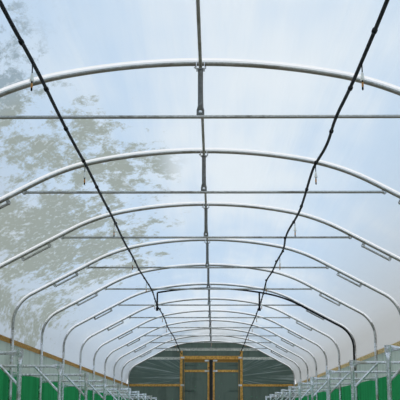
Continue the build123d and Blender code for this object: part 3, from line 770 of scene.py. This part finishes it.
def make_tape(name):
    """White foam tape, slightly soiled."""
    tree, shader, place = new_finish(name, 0.6)
    soil = product(tree, grime(tree, place, 2.5, 0.3), 0.2)
    tone = mix_colour(tree, soil, (0.97, 0.97, 0.97, 1), (0.62, 0.62, 0.58, 1))
    tree.links.new(tone, shader.inputs["Base Color"])
    bumped(tree, shader, cloud(tree, place, 220.0, 2.0), 0.15, 0.0006)


NODES_OF_FINISH = {
    "weathered_zinc": ("hoops", "tie_bars", "ridge_purlin", "haunch_braces"),
    "dark_zinc": ("king_posts",),
    "bright_zinc": (
        "foundation_tubes", "ridge_clamps", "bracket_posts", "bracket_arms", "bracket_knees", "joint_plates",
        "left_leaf_straps", "right_leaf_straps", "hinge_pintles",
    ),
    "timber_lengthways": ("side_rail_left", "cover_battens"),
    "sunlit_timber": ("side_rail_right",),
    "timber_upright": ("end_posts", "gable_posts", "infill_frame"),
    "timber_across": ("head_beams", "end_side_rails"),
    "pale_timber_across": ("collar_rails", "haunch_boards"),
    "leaf_timber": ("left_leaf_frame", "right_leaf_frame"),
    "worn_rubber": ("meeting_flap",),
    "pipe_plastic": ("supply_pipe", "manifolds"),
}


class POLYTUNNEL_OT_finishes(bpy.types.Operator):
    """Build the shared node groups and finishes, and put them on the nodes that keep their shape"""

    bl_idname = "polytunnel.finishes"
    bl_label = "Finishes"

    def execute(self, context):
        build_groups()
        tint = colours()
        make_steel("weathered_zinc", tint.steel, 0.85)
        make_steel("dark_zinc", [0.28 * c for c in tint.steel], 0.5)
        make_steel("bright_zinc", (0.80, 0.82, 0.86), 0.5, metallic=0.65, polish=0.2)
        make_timber("timber_lengthways", tint.timber, "Y")
        lit_timber = [1.5 * c for c in tint.timber]
        make_timber("timber_upright", lit_timber, "Z")
        # Painted shade on the leaves' top rails and on the head door stop
        make_timber("leaf_timber", lit_timber, "Z", shaded_above=2.095, dark_beyond=0.90)
        make_timber("timber_across", lit_timber, "X")
        make_timber("sunlit_timber", (1.0, 0.69, 0.31), "Y")
        make_timber("pale_timber_across", tint.pale_timber, "X")
        make_film("cover_film")
        make_cloth("knitted_netting", tint.netting, 160.0, 0.45, turned_by=math.pi / 2, folds=0.5)
        make_cloth("knitted_mesh", (0.36, 0.44, 0.40), 200.0, 0.6, turned_by=math.pi / 2)
        make_cloth("end_cloth", tint.end_cloth, 260.0, 0.30, holes=True)
        make_clear_film("wrinkled_film")
        make_plastic("worn_rubber", (0.012, 0.012, 0.012), 0.6, 0.3)
        make_plastic("pipe_plastic", (0.005, 0.005, 0.006), 0.6, 0.1, gloss=0.15)
        make_plastic("white_plastic", (0.88, 0.87, 0.80), 0.4, 0.2)
        make_plastic("orange_plastic", (0.55, 0.24, 0.05), 0.4, 0.2)
        make_tape("foam_tape")
        for finish, names in NODES_OF_FINISH.items():
            for name in names:
                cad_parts[name].data.materials[0] = finish_named(finish)
        return {"FINISHED"}


class POLYTUNNEL_OT_cover(bpy.types.Operator):
    """Stretch the two cover sections over the hoops, down to the outer face of the rails"""

    bl_idname = "polytunnel.cover"
    bl_label = "Cover film"

    def execute(self, context):
        outset = HOOP_RADIUS + FILM_GAP
        sections = (("cover_near", -END_Y, 0.0, -END_Y), ("cover_far", 0.0, END_Y, END_Y))
        for name, low_y, high_y, end in sections:
            piece = row_along(low_y, high_y, CROWN_HEIGHT + outset, 112, name)
            below_eave = 0.001
            sweep_down_arch(EAVE_CENTRE.z - below_eave)
            push((RAIL_OUTER_X + FILM_GAP - LEG_X - outset, 0, RAIL_TOP - EAVE_CENTRE.z + below_eave))
            push((0, 0, RAIL_BOTTOM - RAIL_TOP))
            pick(piece, lambda co: abs(co.y - end) < 0.001)
            push((0, math.copysign(OVERHANG, end), 0))
            end_edit()
            mirrored(piece)
            self.sag(piece)
            smooth(piece, 60)
            dress(piece, "tunnel", "cover_film", replaces=("cover",))
        return {"FINISHED"}

    def sag(self, piece):
        """Dip the film between hoops, towards the inside."""
        depth = sizes().film_sag
        foot, middle_height, fade_height = 1.45, 1.3, 0.4
        for vertex in piece.data.vertices:
            x, y, z = vertex.co
            if abs(y) > END_Y or z < foot:
                continue
            share = math.sin(math.pi * (((y + END_Y) / BAY) % 1.0)) ** 0.8
            outwards = Vector((x, 0, z - middle_height))
            inwards = vertex.normal if vertex.normal.dot(outwards) < 0 else -vertex.normal
            fade = min((z - foot) / fade_height, 1.0)
            uneven = 0.75 + 0.5 * noise.noise(Vector((x * 0.8, y * 0.6, z)))
            vertex.co += inwards * depth * share * fade * uneven


class POLYTUNNEL_OT_hoop_tape(bpy.types.Operator):
    """Lay anti-hot-spot foam tape on the outer side of every hoop"""

    bl_idname = "polytunnel.hoop_tape"
    bl_label = "Hoop tape"

    def execute(self, context):
        radius = HOOP_RADIUS + TAPE_GAP
        bpy.ops.mesh.primitive_circle_add(
            vertices=24, radius=radius, rotation=(0, math.pi / 2, 0), location=(0, HOOPS[0], CROWN_HEIGHT)
        )
        piece = settled("hoop_tape")
        begin_edit(piece)
        reach = radius * math.cos(sizes().tape_width / 2)
        pick(piece, lambda co: co.z < CROWN_HEIGHT + reach - 0.0001, "VERT")
        bpy.ops.mesh.delete(type="VERT")
        bpy.ops.mesh.select_mode(type="EDGE")
        select_all()
        for _ in HOOPS[1:]:
            bpy.ops.mesh.duplicate_move(TRANSFORM_OT_translate={"value": (0, BAY, 0)})
        select_all()
        sweep_to_eave()
        # The tape ends half way round the eave
        turn(8, (HAUNCH_SLOPE - math.pi / 2) / 2, EAVE_CENTRE)
        end_edit()
        mirrored(piece)
        apply_modifier(piece, "SOLIDIFY", thickness=0.0014, offset=1)
        smooth(piece, 50)
        dress(piece, "tunnel", "foam_tape")
        return {"FINISHED"}


class POLYTUNNEL_OT_side_netting(bpy.types.Operator):
    """Hang the vent mesh and the green netting along both sides, each in two lengths"""

    bl_idname = "polytunnel.side_netting"
    bl_label = "Side netting"

    def execute(self, context):
        lengths = (("near", -END_Y - OVERHANG, 0.0), ("far", 0.0, END_Y + OVERHANG))
        # Name of the piece, foot, top, finish, slot, the CAD node it stands for, and what carries it
        nets = (
            (
                "netting", 0.0, NET_TOP,
                "knitted_netting", "green_netting", "netting_skirt", "foundation_tubes",
            ),
            ("mesh", NET_TOP, RAIL_BOTTOM, "knitted_mesh", "vent_mesh", "vent_mesh", "side_rail_{}"),
        )
        for side in SIDES:
            for length_name, *ys in lengths:
                for kind, *zs, finish, slot, replaced, support in nets:
                    piece = self.hang(f"{kind}_{side}_{length_name}", SIDES[side], ys, zs)
                    dress(piece, "tunnel", finish, replaces=(f"{replaced}_{side}",))
        return {"FINISHED"}

    def hang(self, name, side, ys, zs):
        """A length of net with soft folds, held at the hoops and hanging freest at its foot."""
        piece = upright_grid((side * NET_X, ys[0], zs[0]), (side * NET_X, ys[1], zs[1]), (140, 8), name)
        depth = sizes().net_ripple
        for vertex in piece.data.vertices:
            x, y, z = vertex.co
            held = abs(math.sin(math.pi * ((y + END_Y) / BAY)))
            fold = 0.5 + 0.5 * noise.noise(Vector((y * 3.2, z * 0.9, side * 7.0)))
            low = 1 - 0.6 * (z - zs[0]) / (zs[1] - zs[0])
            vertex.co.x += side * depth * fold * low * min(held * 3, 1.0)
        smooth(piece, 80)
        return piece


class POLYTUNNEL_OT_end_cloths(bpy.types.Operator):
    """Stretch the dark cloths over both gables and beside both doorways, and the leaves' cloths"""

    bl_idname = "polytunnel.end_cloths"
    bl_label = "End cloths"

    def execute(self, context):
        for end_name, end in (("near", -1), ("far", 1)):
            self.gable(end_name, end)
            self.side_cloths(end_name, end)
            self.films(end_name, end)
        leaves = (
            ("left_leaf_cloth", -LEAF_OUTER_X, LEAF_EDGES["left"], 1, "left_door_leaf", "left_leaf_sheet"),
            ("right_leaf_cloth", LEAF_EDGES["right"], LEAF_OUTER_X, 1, "right_door_leaf", "right_leaf_sheet"),
            ("infill_cloth", -DOORWAY_HALF, DOORWAY_HALF, -1, "tunnel", "infill_sheet"),
        )
        for leaf in leaves:
            self.leaf(*leaf)
        return {"FINISHED"}

    def arch_sheet(self, name, y, outset, zs, flat, centre, cuts):
        """A sheet from the arch's outline between two heights, filled in to a straight line."""
        piece = point_at((0, y, CROWN_HEIGHT + outset), name)
        sweep_down_arch(0.0, edges=False)
        pick(piece, lambda co: co.x > LEG_X + outset - 0.001)
        bpy.ops.mesh.subdivide(number_cuts=10)
        for height, above in zip(zs, (False, True)):
            select_all()
            bpy.ops.mesh.bisect(
                plane_co=(0, 0, height), plane_no=(0, 0, 1), clear_inner=not above, clear_outer=above
            )
        self.fill_to(piece, flat, centre, cuts)
        mirrored(piece)
        return piece

    def fill_to(self, piece, flat, centre, cuts):
        """Fill from the chain to a straight line, by extruding it and flattening the new edge."""
        bpy.ops.mesh.select_mode(type="EDGE")
        select_all()
        bpy.ops.mesh.extrude_edges_move(TRANSFORM_OT_translate={"value": (0, 0, 0)})
        bpy.ops.transform.resize(value=flat, center_override=centre)
        mesh = bmesh.from_edit_mesh(piece.data)
        axis = 0 if flat[0] == 0 else 2
        for edge in mesh.edges:
            a, b = (v.co for v in edge.verts)
            edge.select_set(abs(a[2 - axis] - b[2 - axis]) < 0.0001 and abs(a[axis] - b[axis]) > 0.02)
        bmesh.update_edit_mesh(piece.data)
        bpy.ops.mesh.subdivide(number_cuts=cuts)
        select_all()
        bpy.ops.mesh.remove_doubles(threshold=0.0001)
        end_edit()

    def billow(self, piece, end, free):
        """Belly the cloth outwards a little, away from the lines that free() says hold it."""
        depth = sizes().cloth_billow
        for vertex in piece.data.vertices:
            x, y, z = vertex.co
            wave = 0.55 + 0.5 * noise.noise(Vector((x * 1.7, z * 1.7, end * 3.0)))
            vertex.co.y += end * depth * wave * min(max(free(abs(x), z), 0) / CLOTH_FADE, 1.0)

    def gable(self, end_name, end):
        top = CROWN_HEIGHT + HOOP_RADIUS
        piece = self.arch_sheet(
            f"gable_cloth_{end_name}", end * (END_FACE + CLOTH_GAP), HOOP_RADIUS, (HEAD_BOTTOM, 9.0),
            (1, 1, 0), (0, 0, HEAD_BOTTOM), 7,
        )
        # Free between the head beam and the collar rail, and between that rail and the hoop
        head_top, collar_bottom, collar_top = 2.29, 2.46, 2.55
        self.billow(piece, end, lambda x, z: max(
            min(z - head_top, collar_bottom - z), min(z - collar_top, top - 0.07 * x * x - z)
        ))
        supports = ["collar_rails", "head_beams", "hoops"]
        self.finish(piece, supports, 2 * GABLE_HALF_WIDTH, top - HEAD_BOTTOM, "gable_sheets")

    def side_cloths(self, end_name, end):
        piece = self.arch_sheet(
            f"side_cloth_{end_name}", end * (END_FACE + CLOTH_GAP), HOOP_RADIUS, (-1.0, HEAD_BOTTOM),
            (0, 1, 1), (POST_X, 0, 0), 12,
        )
        post_edge, leg_edge, rail_half = 1.05, 2.65, 0.04
        self.billow(piece, end, lambda x, z: min(
            x - post_edge, leg_edge - x, abs(z - RAIL_CENTRE) - rail_half, HAUNCH_BOARD_BOTTOM - z
        ))
        supports = ["end_posts", "end_side_rails"]
        self.finish(piece, supports, 2 * SIDE_HALF_WIDTH, HEAD_BOTTOM, "end_side_sheets")

    def films(self, end_name, end):
        inside_face, inside_hoop = 0.0185, -0.02445
        piece = self.arch_sheet(
            f"end_film_{end_name}", end * (END_FACE - inside_face), inside_hoop,
            (RAIL_TOP, HAUNCH_BOARD_BOTTOM), (0, 1, 1), (POST_OUTER_X, 0, 0), 18,
        )
        post_edge, hoop_edge, crease_depth, fade_width = 1.05, 2.4, 0.007, 0.1
        for vertex in piece.data.vertices:
            x, y, z = vertex.co
            held = min(abs(x) - post_edge, hoop_edge - abs(x), z - RAIL_TOP, HAUNCH_BOARD_BOTTOM - z)
            crease = noise.noise(Vector((x * 5, z * 8, end)))
            crease += 0.5 * noise.noise(Vector((x * 14, z * 9, 5 * end)))
            vertex.co.y -= end * crease_depth * crease * min(max(held / fade_width, 0), 1.0)
        self.finish(
            piece, ["end_posts", "haunch_boards"], 2 * END_FILM_HALF_WIDTH, HAUNCH_BOARD_BOTTOM - RAIL_TOP,
            "end_films", "clear_film", "wrinkled_film",
        )

    def leaf(self, name, low_x, high_x, end, body, node_name):
        """The cloth of a door leaf or of the infill, bellied inwards between its stiles and rails."""
        y = end * (END_FACE + LEAF_CLOTH_GAP)
        piece = upright_grid((low_x, y, LEAF_BOTTOM), (high_x, y, LEAF_TOP), (16, 40), name)
        stile, rail_half, bottom_rail_top, top_rail_bottom = 0.06, 0.04, 0.12, 2.08
        for vertex in piece.data.vertices:
            x, _, z = vertex.co
            rails = min(abs(z - LEAF_MID_RAIL) - rail_half, z - bottom_rail_top, top_rail_bottom - z)
            middle = abs(x) - 0.08 if node_name == "infill_sheet" else 1.0
            inside = max(min(x - low_x - stile, high_x - x - stile, middle, rails), 0)
            wave = 0.6 + 0.5 * noise.noise(Vector((x * 2.5, z * 1.5, 2.0)))
            vertex.co.y -= end * sizes().cloth_billow * wave * min(inside / CLOTH_FADE, 1.0)
        smooth(piece, 80)
        dress(piece, body, "end_cloth", replaces=(node_name,))

    def finish(self, piece, rests_on, width, height, node_name, slot="dark_sheet", finish="end_cloth"):
        smooth(piece, 80)
        dress(piece, "tunnel", finish, replaces=(node_name,))


class POLYTUNNEL_OT_bolts(bpy.types.Operator):
    """Put the bolts through the clamps, lugs, legs and brackets"""

    bl_idname = "polytunnel.bolts"
    bl_label = "Frame bolts"

    def execute(self, context):
        ridge = [along((1, 0, 0), (0.031, y, CLAMP_HEIGHT)) for y in INNER_HOOPS]
        self.fit("ridge_bolts", 1.0, 0.062, ridge)
        # For each set: size of the head, grip, how far the seat is from the hoop's middle, and its (x, z)
        sets = (
            ("king_bolts", 0.8, 0.012, 0.006, lambda side: [(0.0, KING_FOOT)] if side > 0 else []),
            ("tie_bolts", 0.8, 0.008, 0.004, lambda side: [(side * TIE_LUG_X, TIE_HEIGHT)]),
            ("brace_bolts", 0.7, 0.008, 0.004, lambda side: [(side * x, z) for x, z in BRACE_ENDS]),
            ("bracket_bolts", 1.0, 0.0203, 0.01015, lambda side: [self.on_bracket(side, 0, 0)]),
            ("knee_post_bolts", 0.8, 0.0424, 0.02635, lambda side: [self.on_bracket(side, 0, KNEE_REACH)]),
            ("knee_arm_bolts", 0.8, 0.0337, 0.0117, lambda side: [self.on_bracket(side, KNEE_REACH, 0)]),
            ("leg_bolts", 1.0, 0.0483, 0.0242, lambda side: [(side * LEG_X, LEG_BOLT_HEIGHT)]),
        )
        for name, share, grip, seat, spots in sets:
            places = [
                along((0, -1, 0), (x, y - seat, z))
                for y in (HOOPS if name == "leg_bolts" else INNER_HOOPS)
                for side in (-1, 1)
                for x, z in spots(side)
            ]
            self.fit(name, share, grip, places)
        return {"FINISHED"}

    def on_bracket(self, side, outwards, down):
        return side * (BRACKET_X + outwards), BRACKET_HEIGHTS[side] - down

    def fit(self, name, share, grip, places):
        piece = copies(bolt(name, sizes().bolt_size * share, grip), places, name)
        smooth(piece, 30)
        dress(piece, "tunnel", "bright_zinc")


class POLYTUNNEL_OT_timber_fixings(bpy.types.Operator):
    """Add the leaves' corner plates, latch and lip, the door stops and the batten nails"""

    bl_idname = "polytunnel.timber_fixings"
    bl_label = "Timber fixings"

    def execute(self, context):
        for side_name in SIDES:
            self.leaf_plates(side_name)
        rings = (
            (0.010, 0), (0.014, 0.004), (0.008, 0.010), (0.008, 0.020),
            (0.019, 0.026), (0.021, 0.034), (0.014, 0.042),
        )
        knob = turned(rings, 20, "leaf_latch")
        knob = copies(knob, [along((0, -1, 0), (-0.085, LEAF_INNER_FACE, 1.90))], "leaf_latch")
        smooth(knob, 40)
        dress(knob, "left_door_leaf", "worn_rubber")
        self.door_stops()
        lip = bevelled_box(
            (0.0457, END_FACE - 0.03, LEAF_BOTTOM), (0.0529, END_FACE - 0.001, LEAF_TOP), 0.001, "meeting_lip"
        )
        dress(lip, "right_door_leaf", "worn_rubber")
        self.nails()
        return {"FINISHED"}

    def leaf_plates(self, side_name):
        """Two plates across the meeting stile, each with six screws."""
        name, edge, side = f"{side_name}_leaf_plates", LEAF_EDGES[side_name], SIDES[side_name]
        front = LEAF_INNER_FACE - 0.002
        heights = (LEAF_TOP_RAIL, LEAF_MID_RAIL)
        low_x, high_x = sorted((edge + side * 0.008, edge + side * 0.15))
        plates = [
            bevelled_box((low_x, front, z - 0.026), (high_x, LEAF_INNER_FACE, z + 0.026), 0.0007, name, 1)
            for z in heights
        ]
        screw = turned([(0.005, 0), (0.005, 0.0008), (0.003, 0.0016)], 8, name)
        spots = [
            along((0, -1, 0), (edge + side * x, front, z + dz))
            for z in heights for x in (0.03, 0.075, 0.125) for dz in (-0.014, 0.014)
        ]
        piece = joined([*plates, copies(screw, spots, name)], name)
        dress(piece, f"{side_name}_door_leaf", "bright_zinc")

    def door_stops(self):
        """Timber strips on the inner side of the doorway that the leaves close against."""
        low_y, high_y = END_FACE - 0.045, END_FACE - 0.0354
        half_width, head_reach, head_drop = 0.004, 0.9485, 0.018
        corners = [
            ((side * STOP_X - half_width, low_y, 0.0), (side * STOP_X + half_width, high_y, HEAD_BOTTOM))
            for side in (-1, 1)
        ]
        corners.append(((-head_reach, low_y, HEAD_BOTTOM - head_drop), (head_reach, high_y, HEAD_BOTTOM)))
        piece = joined([bevelled_box(low, high, 0.001, "stop", 1) for low, high in corners], "door_stops")
        # The head strip lies above the height where leaf_timber paints shade
        dress(piece, "tunnel", "leaf_timber")

    def nails(self):
        nail = turned([(0.0055, 0), (0.0055, 0.0008), (0.004, 0.0014)], 8, "batten_nails")
        sunk, spacing = 0.0012, 0.61
        spots = []
        y = -END_Y
        while y <= END_Y + 0.01:
            for side in (-1, 1):
                spots.append(along((side, 0, 0), (side * (BATTEN_OUTER_X - sunk), y, RAIL_CENTRE)))
            y += spacing
        piece = copies(nail, spots, "batten_nails")
        dress(piece, "tunnel", "bright_zinc")


# How far each line wanders across, as (Y, sideways) in metres
LINE_SWAYS = {
    "left": (
        (-11.9, -0.015), (-10.9, 0.005), (-9.8, -0.004), (-8.9, 0.0), (-8.5, 0.008), (-7.1, 0.004),
        (-6.2, 0.014), (-4.7, -0.002), (-3.7, 0.015), (-2.5, 0.005), (-1.3, 0.031), (-0.1, 0.053),
        (1.4, 0.02), (4.1, 0.039), (7.2, -0.015), (9.8, 0.038), (13.4, 0.005),
    ),
    "right": (
        (-11.9, 0.019), (-11.1, 0.015), (-10.4, 0.014), (-9.8, -0.007), (-9.1, 0.021), (-8.5, -0.02),
        (-8.1, -0.017), (-7.1, 0.010), (-6.4, 0.016), (-5.2, -0.036), (-4.2, 0.019), (-3.2, -0.020),
        (-2.2, -0.012), (-1.3, -0.06), (-0.1, -0.028), (1.5, -0.01), (5.4, 0.006), (7.0, -0.011),
        (10.8, -0.003), (13.5, 0.003),
    ),
}


def sway_at(side_name, y):
    """Sideways wander of a line at y, by straight steps between its bends."""
    bends = ((LINE_START, 0.0), *LINE_SWAYS[side_name], (LINE_END, 0.0))
    for (low, low_sway), (high, high_sway) in zip(bends, bends[1:]):
        if low <= y <= high:
            return low_sway + (high_sway - low_sway) * (y - low) / (high - low)
    return 0.0


class POLYTUNNEL_OT_watering(bpy.types.Operator):
    """Run the two black watering lines under the tie bars, tie them up and hang the sprinklers"""

    bl_idname = "polytunnel.watering"
    bl_label = "Watering lines"

    def execute(self, context):
        random.seed(4)
        for side_name, middle in LINE_PLACES.items():
            self.line(side_name, middle)
        self.sprinklers()
        return {"FINISHED"}

    def line(self, side_name, middle):
        """One line in two lengths, wandering and sagging between its ties."""
        name = f"watering_line_{side_name}"
        fitting, wall_gap = 0.0203, 0.0008
        ends = ((LINE_START, MANIFOLD_Y - fitting), (MANIFOLD_Y + fitting, LINE_END - wall_gap))
        tubes = [self.length_of_pipe(side_name, middle, low_y, high_y) for low_y, high_y in ends]
        tie = turned([(0.0116, -0.02), (0.0158, -0.015), (0.0158, 0.015), (0.0116, 0.02)], 14, name)
        first_tie, last_tie, clear_of_manifold = -14.0, 16.9, 0.15
        spots = []
        y = first_tie
        while y < last_tie:
            if abs(y - MANIFOLD_Y) > clear_of_manifold:
                spots.append(along((0, 1, 0), (middle + sway_at(side_name, y), y, LINE_HEIGHT - 0.007)))
            y += random.uniform(0.75, 1.0)
        piece = joined([*tubes, copies(tie, spots, name)], name)
        smooth(piece, 40)
        dress(piece, "tunnel", "pipe_plastic", replaces=(f"water_line_{side_name}",))

    def length_of_pipe(self, side_name, middle, low_y, high_y):
        bpy.ops.curve.primitive_nurbs_path_add()
        path = only(bpy.context.object)
        straight_end, least_sag = 0.3, 0.002
        bends = [
            (y, sway) for y, sway in LINE_SWAYS[side_name] if low_y + straight_end < y < high_y - straight_end
        ]
        points = [
            (middle, low_y, LINE_HEIGHT - least_sag, 1.0),
            *((middle + sway, y, LINE_HEIGHT - random.uniform(least_sag, 0.012), 1.0) for y, sway in bends),
            (middle, high_y, LINE_HEIGHT - least_sag, 1.0),
        ]
        spline = path.data.splines[0]
        spline.points.add(len(points) - len(spline.points))
        for point, co in zip(spline.points, points):
            point.co = co
        spline.order_u = 3
        spline.use_endpoint_u = True
        path.data.bevel_depth = 0.0115
        path.data.bevel_resolution = 3
        path.data.use_fill_caps = True
        bpy.ops.object.convert(target="MESH")
        return bpy.context.object

    def sprinklers(self):
        """Hanging sprinklers: thin tube, pale weighted body, orange rim and black tip."""
        body_top = LINE_HEIGHT - 0.080
        finishes = [finish_named(name) for name in ("pipe_plastic", "white_plastic", "orange_plastic")]
        # Name, sides, finish by its place in the list, and rings as (radius, drop below the body's top)
        profile = (
            ("tube", 8, 0, ((0.0035, -0.070), (0.0035, 0))),
            ("body", 16, 1, (
                (0.004, -0.001), (0.007, 0.003), (0.0135, 0.044), (0.014, 0.048), (0.005, 0.049),
            )),
            ("neck", 8, 0, ((0.0045, 0.049), (0.0045, 0.060))),
            ("cap", 12, 2, ((0.004, 0.060), (0.0065, 0.062), (0.0065, 0.088), (0.004, 0.090))),
            ("tip", 12, 0, ((0.004, 0.090), (0.006, 0.092), (0.0055, 0.106), (0.002, 0.110))),
        )
        parts = [
            (turned([(radius, body_top - drop) for radius, drop in rings], sides, name), finish)
            for name, sides, finish, rings in profile
        ]
        for i in range(3):
            bearing = i * math.tau / 3
            outwards = Vector((math.cos(bearing), math.sin(bearing), 0))
            dot = turned([(0.002, 0), (0.002, 0.0015)], 6, "dot")
            place = 0.0128 * outwards + Vector((0, 0, body_top - 0.040))
            parts.append((copies(dot, [along(outwards, place)], "dot"), 2))
        for piece, finish in parts:
            piece.data.materials.clear()
            for material in finishes:
                piece.data.materials.append(material)
            for face in piece.data.polygons:
                face.material_index = finish
        one = joined([piece for piece, _ in parts], "hanging_sprinklers")
        places = [y + BAY / 2 for y in HOOPS[1:-2]]
        spots = [(x + sway_at(side_name, y), y, 0) for side_name, x in LINE_PLACES.items() for y in places]
        piece = copies(one, spots, "hanging_sprinklers")
        smooth(piece, 40)
        dress(piece, "tunnel", replaces=("sprinklers",))


class POLYTUNNEL_OT_stage(bpy.types.Operator):
    """Set the floor, the pale surroundings, the lamp and the camera"""

    bl_idname = "polytunnel.stage"
    bl_label = "Stage"

    def execute(self, context):
        self.floor()
        self.world()
        self.lamp()
        self.camera()
        context.scene.view_settings.view_transform = "Standard"
        return {"FINISHED"}

    def floor(self):
        bpy.ops.mesh.primitive_plane_add(size=160, location=(0, 0, -0.002))
        ground = settled("stage_floor")
        _, shader, _ = new_finish("stage_floor", 0.9)
        shader.inputs["Base Color"].default_value = (0.78, 0.78, 0.77, 1)
        ground.data.materials.append(finish_named("stage_floor"))

    def world(self):
        world = bpy.data.worlds.new("pale_surroundings")
        bpy.context.scene.world = world
        world.use_nodes = True
        tree = world.node_tree
        light = tree.nodes["Background"]
        light.inputs["Color"].default_value = (0.95, 0.97, 1.0, 1)
        light.inputs["Strength"].default_value = 0.95
        backdrop = node(tree, "ShaderNodeBackground", {"Color": (0.97, 0.98, 1.0, 1), "Strength": 1.0})
        path = tree.nodes.new("ShaderNodeLightPath").outputs
        beyond = maths(tree, "MAXIMUM", path["Is Glossy Ray"], path["Is Transmission Ray"])
        seen = maths(tree, "MAXIMUM", path["Is Camera Ray"], beyond)
        both = node(tree, "ShaderNodeMixShader", {0: seen, 1: light.outputs[0], 2: backdrop.outputs[0]})
        tree.links.new(both.outputs[0], tree.nodes["World Output"].inputs["Surface"])

    def lamp(self):
        bpy.ops.object.light_add(type="SUN", rotation=(math.radians(28), math.radians(24), 0))
        sun = bpy.context.object
        sun.data.energy = 0.5
        sun.data.angle = math.radians(40)
        sun.data.color = (1.0, 0.97, 0.92)

    def camera(self):
        bpy.ops.object.camera_add()
        camera = bpy.context.object
        camera.data.sensor_width = 36
        camera.data.lens = 90.02
        yaw, pitch, roll = (math.radians(degrees) for degrees in (0.818, 12.2766, 0.105))
        turn_by = Matrix.Rotation(yaw, 4, "Z") @ Matrix.Rotation(math.pi / 2 + pitch, 4, "X")
        turn_by = turn_by @ Matrix.Rotation(roll, 4, "Z")
        camera.matrix_world = Matrix.Translation((0.0958, -16.6027, 0.28)) @ turn_by
        camera.data.clip_end = 200
        bpy.context.scene.camera = camera


class POLYTUNNEL_PT_panel(bpy.types.Panel):
    """Lists the pieces in the sidebar"""

    bl_label = "Polytunnel"
    bl_idname = "POLYTUNNEL_PT_panel"
    bl_space_type = "VIEW_3D"
    bl_region_type = "UI"
    bl_category = "Polytunnel"

    def draw(self, context):
        for group in (context.scene.polytunnel_sizes, context.scene.polytunnel_colours):
            for name in group.__annotations__:
                self.layout.prop(group, name)
        for operator in OPERATORS:
            self.layout.operator(operator.bl_idname)


# In the order in which they run
OPERATORS = (
    POLYTUNNEL_OT_stage, POLYTUNNEL_OT_finishes, POLYTUNNEL_OT_cover, POLYTUNNEL_OT_hoop_tape,
    POLYTUNNEL_OT_side_netting, POLYTUNNEL_OT_end_cloths, POLYTUNNEL_OT_bolts,
    POLYTUNNEL_OT_timber_fixings, POLYTUNNEL_OT_watering,
)
CLASSES = (TunnelSizes, TunnelColours, *OPERATORS, POLYTUNNEL_PT_panel)


def register():
    for added in CLASSES:
        bpy.utils.register_class(added)
    bpy.types.Scene.polytunnel_sizes = PointerProperty(type=TunnelSizes)
    bpy.types.Scene.polytunnel_colours = PointerProperty(type=TunnelColours)


def unregister():
    del bpy.types.Scene.polytunnel_colours
    del bpy.types.Scene.polytunnel_sizes
    for added in reversed(CLASSES):
        bpy.utils.unregister_class(added)


def main():
    register()
    deselect()
    bpy.ops.polytunnel.stage()
    bpy.ops.polytunnel.finishes()
    bpy.ops.polytunnel.cover()
    bpy.ops.polytunnel.hoop_tape()
    bpy.ops.polytunnel.side_netting()
    bpy.ops.polytunnel.end_cloths()
    bpy.ops.polytunnel.bolts()
    bpy.ops.polytunnel.timber_fixings()
    bpy.ops.polytunnel.watering()
    deselect()


if __name__ == "__main__":
    main()
